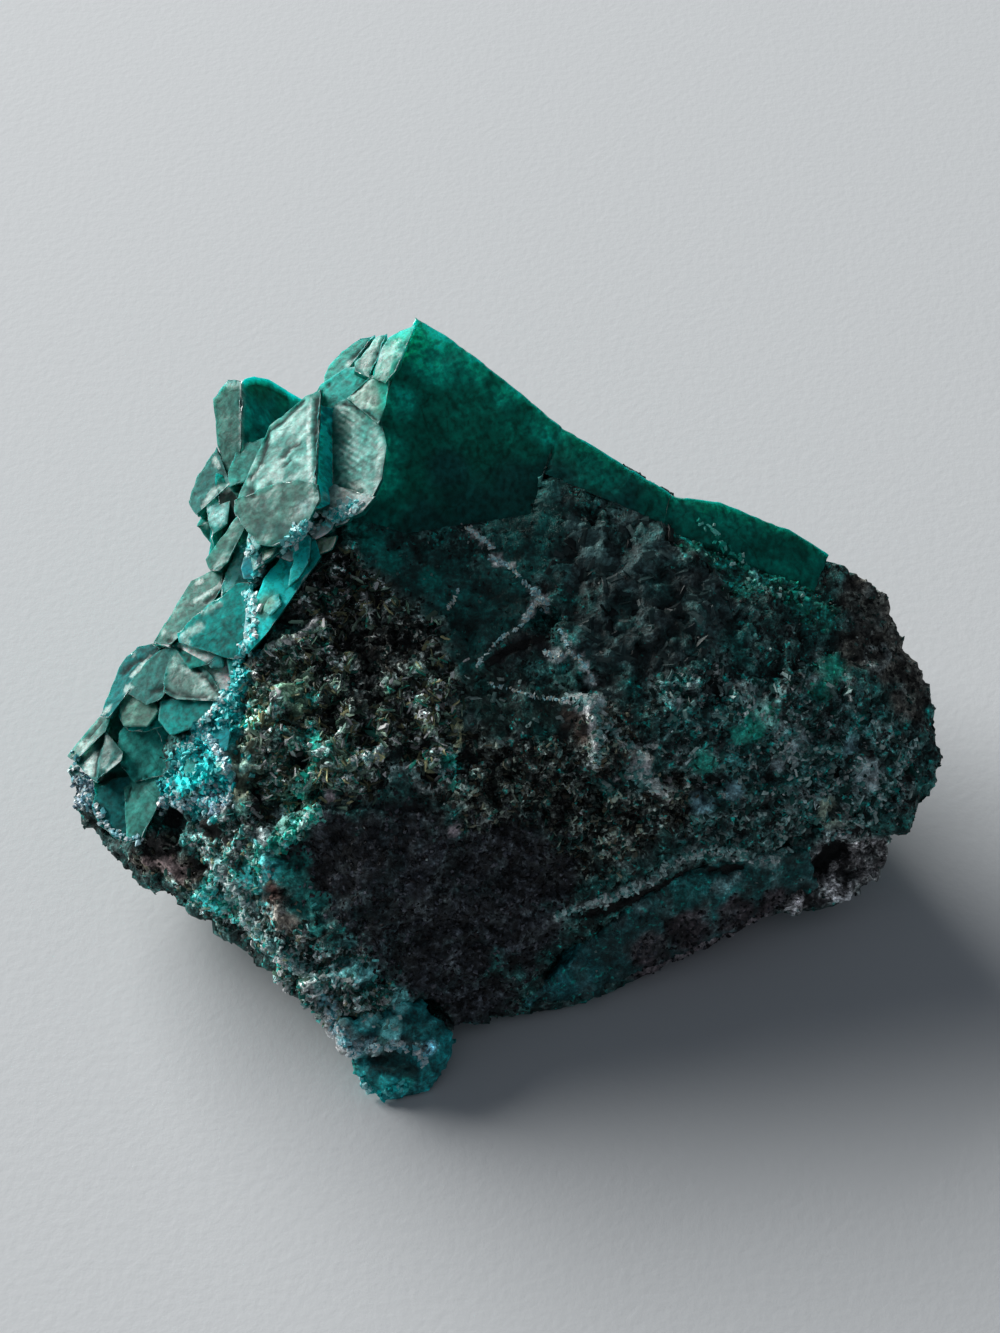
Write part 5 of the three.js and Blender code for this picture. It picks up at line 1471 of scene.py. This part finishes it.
# Loose detail grown on the rock. Each kind says which surfaces it stands on, how many to a square mm,
# its length, thickness and height in mm, how upright it stands (0 flat, 1 on edge), and its colours.
grainKinds = {
    "blades": {
        "boxworkBlades": {
            "on": ["boxwork", "greenBoxwork"], "density": 6.0, "length": (0.3, 1.1), "thick": (0.06, 0.14),
            "height": (0.14, 0.36), "upright": 0.9,
            "colors": [(93, 121, 111), (140, 178, 158), (190, 224, 200), (92, 126, 108), (70, 92, 78),
                       (132, 136, 104), (50, 156, 136), (238, 240, 240), (176, 174, 132), (86, 92, 70)]},
        "leftBlades": {
            "on": ["leftBoxwork", "ledgeGreen"], "density": 4.5, "length": (0.2, 0.6), "thick": (0.08, 0.2),
            "height": (0.12, 0.36), "upright": 0.8,
            "colors": [(111, 232, 224), (46, 183, 174), (238, 240, 240), (32, 160, 148), (30, 112, 102),
                       (84, 116, 100), (172, 240, 240), (113, 138, 121)]},
        "centreBlades": {
            "on": ["brownCentre", "leftBrown"], "density": 4.0, "length": (0.2, 0.6), "thick": (0.08, 0.2),
            "height": (0.1, 0.3), "upright": 0.7,
            "colors": [(86, 81, 65), (131, 134, 115), (44, 89, 79), (34, 34, 31), (177, 197, 181),
                       (57, 55, 50)]},
        "rightLeaves": {
            "on": ["rightMottled", "oliveShelf"], "density": 2.4, "length": (0.25, 0.8), "thick": (0.15, 0.4),
            "height": (0.05, 0.12), "upright": 0.35,
            "colors": [(21, 73, 67), (59, 103, 98), (105, 142, 138), (9, 44, 40), (11, 61, 55),
                       (157, 184, 180)]},
        "greyLeaves": {
            "on": ["greyPlanes"], "density": 1.0, "length": (0.5, 1.4), "thick": (0.25, 0.6),
            "height": (0.06, 0.12),
            "upright": 0.15, "colors": [(38, 60, 60), (28, 48, 48), (54, 74, 74), (22, 42, 44)]},
    },
    "sugar": {
        "paleDruse": {
            "on": ["druse"], "density": 18.0, "length": (0.16, 0.4), "thick": (0.14, 0.3),
            "height": (0.14, 0.34),
            "upright": 0.5, "colors": [(150, 226, 228), (200, 236, 240), (80, 206, 208), (0, 170, 172),
                                       (232, 244, 246)]},
        "cyanSugar": {
            "on": ["cyan"], "density": 9.0, "length": (0.18, 0.45), "thick": (0.16, 0.34),
            "height": (0.16, 0.4),
            "upright": 0.5, "colors": [(0, 172, 174), (20, 204, 202), (0, 140, 146), (90, 222, 224),
                                       (176, 228, 234), (0, 104, 112)]},
        "frost": {
            "on": ["frosty"], "density": 12.0, "length": (0.15, 0.4), "thick": (0.15, 0.3),
            "height": (0.15, 0.35),
            "upright": 0.5, "colors": [(180, 211, 230), (228, 240, 240), (121, 157, 180), (62, 97, 116)]},
        "crust": {
            "on": ["crust"], "density": 6.0, "length": (0.1, 0.26), "thick": (0.08, 0.18),
            "height": (0.08, 0.2),
            "upright": 0.5, "colors": [(150, 176, 174), (108, 140, 138), (186, 202, 200), (70, 108, 104)]},
        "greenSparkle": {
            "on": ["greenFringe", "greenBoss", "ledgeGreen"], "density": 5.0, "length": (0.12, 0.35),
            "thick": (0.08, 0.2), "height": (0.1, 0.22), "upright": 0.6,
            "colors": [(0, 122, 96), (40, 178, 150), (0, 84, 66), (120, 200, 184), (0, 60, 48)]},
    },
    "crumbs": {
        "boxworkGrit": {
            "on": ["boxwork", "darkBoxwork", "brownCentre"], "density": 4.5, "length": (0.14, 0.4),
            "thick": (0.12, 0.3), "height": (0.1, 0.25), "upright": 0.5,
            "colors": [(53, 65, 59), (31, 35, 33), (25, 70, 64), (90, 104, 94), (66, 64, 56)]},
        "greenGrit": {
            "on": ["greenBoxwork", "leftBoxwork"], "density": 4.5, "length": (0.14, 0.4),
            "thick": (0.12, 0.3),
            "height": (0.1, 0.25), "upright": 0.5,
            "colors": [(110, 168, 152), (66, 116, 104), (50, 168, 154), (206, 238, 226), (160, 166, 134),
                       (74, 126, 110)]},
        "violetGrit": {
            "on": ["violet", "purple"], "density": 6.5, "length": (0.12, 0.34), "thick": (0.1, 0.26),
            "height": (0.06, 0.15), "upright": 0.4,
            "colors": [(62, 66, 74), (40, 44, 50), (22, 25, 28), (92, 96, 104), (14, 16, 18), (34, 30, 34)]},
        "darkGrit": {
            "on": ["darkGreen", "upperTeal", "rightMottled", "rusty", "oliveShelf"], "density": 1.8,
            "length": (0.12, 0.32), "thick": (0.08, 0.22), "height": (0.06, 0.14), "upright": 0.3,
            "colors": [(14, 56, 52), (40, 80, 76), (8, 32, 30), (74, 106, 102), (20, 30, 30)]},
    },
}


# How a grain is broken off a box, and how its material looks
grainShape = {
    "lean": (0.5, 0.25),          # how far it may lean, and how much of that an upright one loses
    "skew": 0.22,                 # how far a corner may be off, in grain sizes
    "taper": (0.35, 0.9),
    "sunk": 0.3,                  # its middle stands this far out of the stone, in grain heights
    "slide": 0.12,                # mm along the stone
    "brightness": (0.7, 1.3),
    "most": 0.95,
    "lowest": 0.05 * mm,          # no corner comes nearer to the ground, and no grain stands nearer
    "fromGround": 0.6 * mm,
    "noise": (3600.0, 3.0),
    "tone": (0.3, 0.7, 0.7, 1.25, "LINEAR"),
    "specular": 0.3,
    "bump": (0.4, 0.05 * mm),
}


def grainMaterial(name, roughness):
    material, tree, shader, _ = newMaterial(name)
    fine = noiseNode(tree, placeNode(tree), *grainShape["noise"])
    shade = rangeNode(tree, fine, *grainShape["tone"])
    color = shadedNode(tree, attributeNode(tree, "tint"), shade)
    tree.links.new(color, shader.inputs["Base Color"])
    shader.inputs["Roughness"].default_value = roughness
    shader.inputs["Specular IOR Level"].default_value = grainShape["specular"]
    bumpSurface(tree, shader, fine, *grainShape["bump"])
    return material


def unit(vectors):
    return vectors / np.maximum(np.linalg.norm(vectors, axis=1, keepdims=True), 1e-12)


def groundOf(surfaces):
    # the faces of all the surfaces together: centre, normal, area, and share of each kind
    centres, normals, areas, shares = [], [], [], {}
    faces = 0
    for piece, share in surfaces:
        polygons = piece.data.polygons
        centres.append(valuesOf(polygons, "center", width=3))
        normals.append(valuesOf(polygons, "normal", width=3))
        areas.append(valuesOf(polygons, "area"))
        corners = valuesOf(piece.data.loops, "vertex_index", np.int32)
        first = corners[valuesOf(polygons, "loop_start", np.int32)]
        for name, weight in share.items():
            shares.setdefault(name, []).append((faces, weight[first]))
        faces += len(polygons)
    full = {}
    for name, parts in shares.items():
        full[name] = np.zeros(faces)
        for start, weight in parts:
            full[name][start:start + len(weight)] = weight
    return np.concatenate(centres), np.concatenate(normals), np.concatenate(areas), full


centres, upright, areas, kindShares = groundOf([(rock, rockShare), (vein, veinShare), (foot, footShare),
                                                (crystals, crystalShare)])


def grainsAt(places, normal, kind, rng):
    # small broken boxes, each set into the stone: their corners and colours
    cube = np.array([(x, y, z) for z in (-0.5, 0.5) for y in (-0.5, 0.5) for x in (-0.5, 0.5)])
    total = len(places)
    along = unit(np.cross(normal, rng.normal(size=(total, 3))))
    across = np.cross(normal, along)
    most, less = grainShape["lean"]
    lean = rng.normal(size=(total, 1)) * (most - less * kind["upright"])
    axisY = unit(across * np.cos(lean) + normal * np.sin(lean))
    axisZ = unit(np.cross(along, axisY))
    size = np.stack([rng.uniform(*kind[key], total) for key in ("length", "thick", "height")], axis=1) * mm
    skew, slide = grainShape["skew"], grainShape["slide"]
    shape = cube[None] + rng.uniform(-skew, skew, (total, 8, 3))
    shape[:, 4:, :2] *= rng.uniform(*grainShape["taper"], (total, 1, 1))
    shape *= size[:, None, :]
    base = places + normal * (size[:, 2] * grainShape["sunk"])[:, None]
    base = base + along * rng.uniform(-slide, slide, (total, 1)) * mm
    placed = (base[:, None] + shape[:, :, :1] * along[:, None] + shape[:, :, 1:2] * axisY[:, None]
              + shape[:, :, 2:] * axisZ[:, None])
    colors = np.array([seen(c) for c in kind["colors"]])[rng.integers(0, len(kind["colors"]), total)]
    return placed, colors * rng.uniform(*grainShape["brightness"], (total, 1))


def grainPiece(name, corners, tints, material):
    points = np.concatenate(corners)
    points[:, :, 2] = np.maximum(points[:, :, 2], grainShape["lowest"])
    grains = len(points)
    sides = np.array([(0, 2, 3, 1), (4, 5, 7, 6), (0, 1, 5, 4), (2, 6, 7, 3), (0, 4, 6, 2), (1, 3, 7, 5)])
    faces = (np.arange(grains)[:, None, None] * 8 + sides[None]).reshape(-1, 4)
    mesh = bpy.data.meshes.new(name)
    mesh.from_pydata(points.reshape(-1, 3).tolist(), [], faces.tolist())
    tint = np.clip(np.concatenate(tints), 0, grainShape["most"])
    paintCorners(mesh, "tint", np.repeat(tint, 8, axis=0))
    piece = addObject(name, mesh)
    mesh.materials.append(material)
    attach(piece, "root")
    print(name + ":", grains, "grains")


def scatterGrains(name, kinds, material, seed):
    rng = np.random.default_rng(seed)
    corners, tints = [], []
    for kind in kinds.values():
        weight = sum(kindShares[on] for on in kind["on"]) * areas / (mm * mm) * kind["density"]
        weight *= centres[:, 2] > grainShape["fromGround"]
        total = int(weight.sum())
        if total == 0:
            continue
        at = rng.choice(len(areas), total, p=weight / weight.sum())
        placed, colors = grainsAt(centres[at], upright[at], kind, rng)
        corners.append(placed)
        tints.append(colors * kindShares["light"][at][:, None])
    grainPiece(name, corners, tints, material)


# The small bright crystals of the druse, in the same terms as the other grains
drusyKinds = {
    "ice": {"length": (0.2, 0.6), "thick": (0.18, 0.42), "height": (0.1, 0.26), "upright": 0.6,
            "colors": [(228, 248, 248), (206, 242, 244), (170, 232, 234), (120, 220, 222), (60, 196, 198)]},
    "cyan": {"length": (0.2, 0.65), "thick": (0.18, 0.45), "height": (0.1, 0.28), "upright": 0.6,
             "colors": [(0, 192, 194), (40, 206, 206), (100, 222, 224), (0, 164, 170), (164, 232, 236)]},
    "lilac": {"length": (0.18, 0.5), "thick": (0.14, 0.36), "height": (0.1, 0.24), "upright": 0.6,
              "colors": [(204, 232, 238), (178, 218, 228), (226, 240, 244), (136, 198, 210), (96, 180, 190)]},
    "pale": {"length": (0.2, 0.55), "thick": (0.12, 0.32), "height": (0.08, 0.22), "upright": 0.7,
             "colors": [(190, 220, 218), (156, 202, 200), (214, 232, 230), (116, 176, 174), (84, 150, 146)]},
    "green": {"length": (0.2, 0.55), "thick": (0.14, 0.36), "height": (0.1, 0.26), "upright": 0.6,
              "colors": [(50, 200, 180), (20, 168, 148), (110, 216, 202), (0, 138, 122), (176, 230, 220)]},
    "hair": {"length": (0.14, 0.36), "thick": (0.09, 0.18), "height": (0.05, 0.13), "upright": 0.4,
             "colors": [(206, 244, 250), (184, 236, 244), (160, 222, 232), (226, 242, 240), (236, 240, 224)]},
}
# Bands of them: the kind, grains per mm, width in mm, and the pixels they run through
drusyBands = {
    "plateFoot": ("ice", 29, 0.5, [(284, 552), (292, 540), (303, 529), (318, 521), (336, 514), (356, 505)]),
    "ridgeTop": ("ice", 16, 0.4, [(240, 545), (250, 552), (262, 560), (256, 580), (250, 598)]),
    "ridge": ("ice", 19, 0.4, [(252, 598), (254, 620), (248, 645), (240, 660)]),
    "ridgeLow": ("cyan", 21, 0.5, [(240, 660), (240, 685), (232, 705), (228, 725)]),
    "spray": ("cyan", 16, 0.6, [(228, 712), (214, 722), (200, 732), (186, 748), (180, 768)]),
    "rimA": ("lilac", 15, 0.25, [(200, 722), (212, 742), (228, 762), (232, 790)]),
    "rimB": ("ice", 15, 0.25, [(240, 688), (222, 700), (208, 716), (196, 735), (182, 752)]),
    "lowRim": ("lilac", 25, 0.4, [(160, 806), (172, 798), (186, 808), (198, 796), (212, 806), (230, 796)]),
    "lowMass": ("cyan", 25, 0.8, [(196, 776), (214, 790), (226, 776)]),
    "tip": ("lilac", 12, 0.35, [(72, 752), (76, 772), (84, 792), (96, 808), (108, 826)]),
    "tipEdge": ("lilac", 10, 0.25, [(112, 830), (126, 838), (140, 840)]),
    "ledge": ("green", 19, 0.4, [(270, 856), (285, 842), (298, 830), (310, 820), (322, 812)]),
    "ledgeBack": ("green", 11, 0.4, [(250, 868), (258, 850), (272, 842)]),
    "upLine": ("green", 10, 0.3, [(288, 812), (298, 790), (312, 768), (330, 746)]),
    "streak": ("pale", 14, 0.25, [(338, 786), (350, 772), (358, 756)]),
    "streakRight": ("pale", 14, 0.25, [(362, 770), (370, 757), (382, 746)]),
    "curtain": ("pale", 16, 0.45, [(216, 868), (234, 896), (252, 926), (280, 950), (300, 968), (320, 992)]),
    "curtainLow": ("lilac", 19, 0.5, [(320, 992), (332, 1010), (340, 1035), (352, 1050)]),
    "footRim": ("lilac", 12, 0.25, [(350, 1052), (366, 1050), (380, 1048), (398, 1044), (418, 1052),
                                    (426, 1066)]),
    "footLow": ("cyan", 9, 0.3, [(356, 1078), (366, 1090), (382, 1094), (404, 1086)]),
    "net": ("pale", 6, 1.2, [(228, 880), (250, 905), (285, 945), (330, 985), (370, 1010), (400, 1035)]),
    "netGreen": ("green", 6, 1.0, [(206, 872), (215, 900), (236, 922)]),
    "veinTop": ("hair", 14, 0.14, [(466, 527), (476, 533), (486, 542), (494, 549)]),
    "veinMiddle": ("hair", 22, 0.16, [(490, 556), (500, 563), (510, 566)]),
    "vein": ("hair", 14, 0.08, [(510, 566), (522, 580), (532, 590)]),
    "veinKnot": ("hair", 44, 0.28, [(533, 590), (542, 600), (548, 610)]),
    "knotLeft": ("hair", 26, 0.18, [(533, 603), (530, 612), (524, 620)]),
    "lip": ("hair", 11, 0.05, [(477, 665), (488, 651), (500, 638), (517, 629), (529, 619)]),
    "veinLow": ("hair", 18, 0.07, [(560, 628), (567, 644), (574, 656), (583, 661)]),
    "veinEnd": ("hair", 26, 0.1, [(580, 656), (588, 670), (594, 684)]),
    "eye": ("hair", 22, 0.15, [(546, 652), (555, 658), (563, 655)]),
    "wisp": ("hair", 12, 0.05, [(458, 590), (454, 602), (446, 610)]),
    "centre": ("pale", 13, 0.3, [(575, 700), (594, 702), (600, 730), (596, 765)]),
    "centreRight": ("pale", 12, 0.3, [(606, 722), (622, 740), (642, 756), (636, 775), (660, 790)]),
    "shelf": ("hair", 9, 0.06, [(490, 684), (512, 690), (535, 697), (570, 700)]),
    "veinEdge": ("pale", 10, 0.4, [(556, 916), (588, 905), (625, 892), (655, 878), (678, 860), (702, 851),
                                   (734, 850)]),
    "veinRight": ("pale", 9, 0.4, [(735, 848), (752, 860), (772, 862), (788, 848)]),
    "rightNet": ("pale", 4, 0.8, [(715, 690), (750, 700), (782, 735), (800, 790), (850, 790), (875, 760)]),
    "rightEdge": ("pale", 7, 0.35, [(915, 740), (898, 778), (870, 815), (826, 838)]),
    "rightDots": ("green", 6, 0.5, [(700, 520), (740, 560), (765, 590), (800, 600)]),
}


druseLook = {"roughness": 0.35, "seed": 21}


def addDruse():
    # laid where each line of sight meets the finished stone
    stone = treeOf([piece.data for piece in (rock, crystals, small, vein, foot)])
    rng = np.random.default_rng(druseLook["seed"])
    seenHeight = cameraSetup["distance"] * cameraSetup["sensor"] / cameraSetup["lens"]
    pixelSize = seenHeight / cameraSetup["pixels"][1] / mm
    corners, tints = [], []
    for kind, count, width, line in drusyBands.values():
        places, normals = [], []
        for (x0, y0), (x1, y1) in zip(line[:-1], line[1:]):
            for k in range(int(count * math.hypot(x1 - x0, y1 - y0) * pixelSize)):
                t = rng.uniform()
                px, py = rng.normal((x0 + (x1 - x0) * t, y0 + (y1 - y0) * t), width / pixelSize / 2)
                place, normal, _, _ = stone.ray_cast(eye, sightTo(px, py))
                if place is not None:
                    places.append(place)
                    normals.append(normal)
        placed, colors = grainsAt(np.array(places), np.array(normals), drusyKinds[kind], rng)
        corners.append(placed)
        tints.append(colors)
    grainPiece("druse", corners, tints, grainMaterial("druse", druseLook["roughness"]))


grainFinish = {"blades": (0.45, 11), "sugar": (0.35, 12), "crumbs": (0.5, 13)}   # roughness, random seed
for name, (roughness, seed) in grainFinish.items():
    scatterGrains(name, grainKinds[name], grainMaterial(name, roughness), seed)
addDruse()
